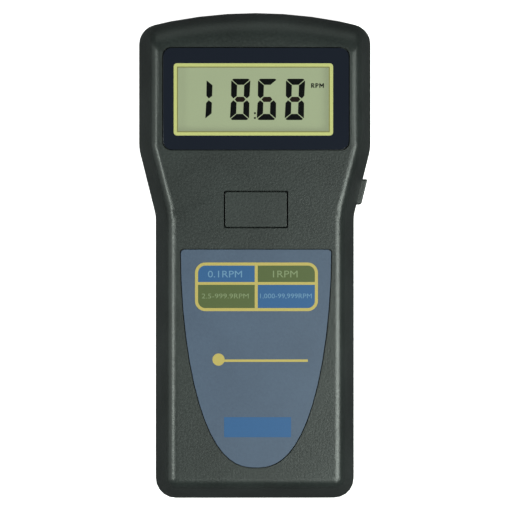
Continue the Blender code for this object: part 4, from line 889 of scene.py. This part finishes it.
BENCH_SIZE, BENCH_Z = 6, -0.0002
deselect()
bpy.ops.mesh.primitive_plane_add(size=BENCH_SIZE, location=(0, 0, BENCH_Z))
floor = settle(bpy.context.object, "bench")
# Bench: matt white laminate, lifted to white so the object stands free as in a cut-out photograph.
floor.data.materials.append(plain(
    "pale_bench", "#f4f4f2", 0.75, grain=0.05, depth=0.0, tint=0.01, Emission_Color=linear("#ffffff"),
    Emission_Strength=1.0,
))
floor.visible_glossy = False

scene = bpy.context.scene
scene.view_settings.view_transform = "Standard"
world = bpy.data.worlds.new("studio")
scene.world = world
world.use_nodes = True
world.node_tree.nodes["Background"].inputs["Color"].default_value = linear("#f2f4f6")
world.node_tree.nodes["Background"].inputs["Strength"].default_value = 0.06


LAMP_COLOUR = "#f4fff6"  # The photograph's light has a faint green
AIM = Vector((0, 0, 0.02))


def lamp(name, place, size, power):
    """A soft lamp aimed at the object."""
    deselect()
    bpy.ops.object.light_add(type="AREA", location=place)
    made = bpy.context.object
    made.name = name
    made.data.shape = "RECTANGLE"
    made.data.size, made.data.size_y = size
    made.data.energy = power
    made.data.color = linear(LAMP_COLOUR)[:3]
    made.rotation_euler = (AIM - Vector(place)).to_track_quat("-Z", "Y").to_euler()
    return made


# Fills the left flank
lamp("softbox_left", (-0.90, -0.05, 0.42), (0.35, 1.2), 1.53)
# Lights the roll of the top end
lamp("softbox_head", (0.0, 0.86, 0.42), (0.9, 0.5), 0.97)
# Lifts the lower end of the face
lamp("softbox_grip", (0.16, -0.21, 0.50), (0.20, 0.20), 0.84)
# Shines on the face round the keys
lamp("softbox_high_right", (0.20, -0.05, 0.45), (0.15, 0.15), 0.85)
# Draws the right ridge
lamp("edge_right", (0.27, -0.045, 0.36), (0.15, 0.12), 0.63)
# Draws the left ridge
lamp("edge_left", (-0.27, -0.03, 0.36), (0.15, 0.12), 0.85)

# The photograph was taken from far off, a little to the left
DISTANCE, CAMERA_X = 3.0, -0.06616
PIXELS, PIXEL_SIZE = 510, 0.00032995
VIEW_WIDTH = PIXELS * PIXEL_SIZE
SENSOR = 36
target = Vector((0.00004, 0.00016, 0.020))
camera_data = bpy.data.cameras.new("camera")
camera = bpy.data.objects.new("camera", camera_data)
scene.collection.objects.link(camera)
camera.location = (CAMERA_X, target.y, target.z + DISTANCE)
back = (camera.location - target).normalized()
across = Vector((0, 1, 0)).cross(back).normalized()
camera.rotation_euler = Matrix((across, back.cross(across), back)).transposed().to_euler()
camera_data.sensor_width = SENSOR
camera_data.lens = SENSOR * DISTANCE / VIEW_WIDTH
camera_data.clip_end = 20
scene.camera = camera

deselect()
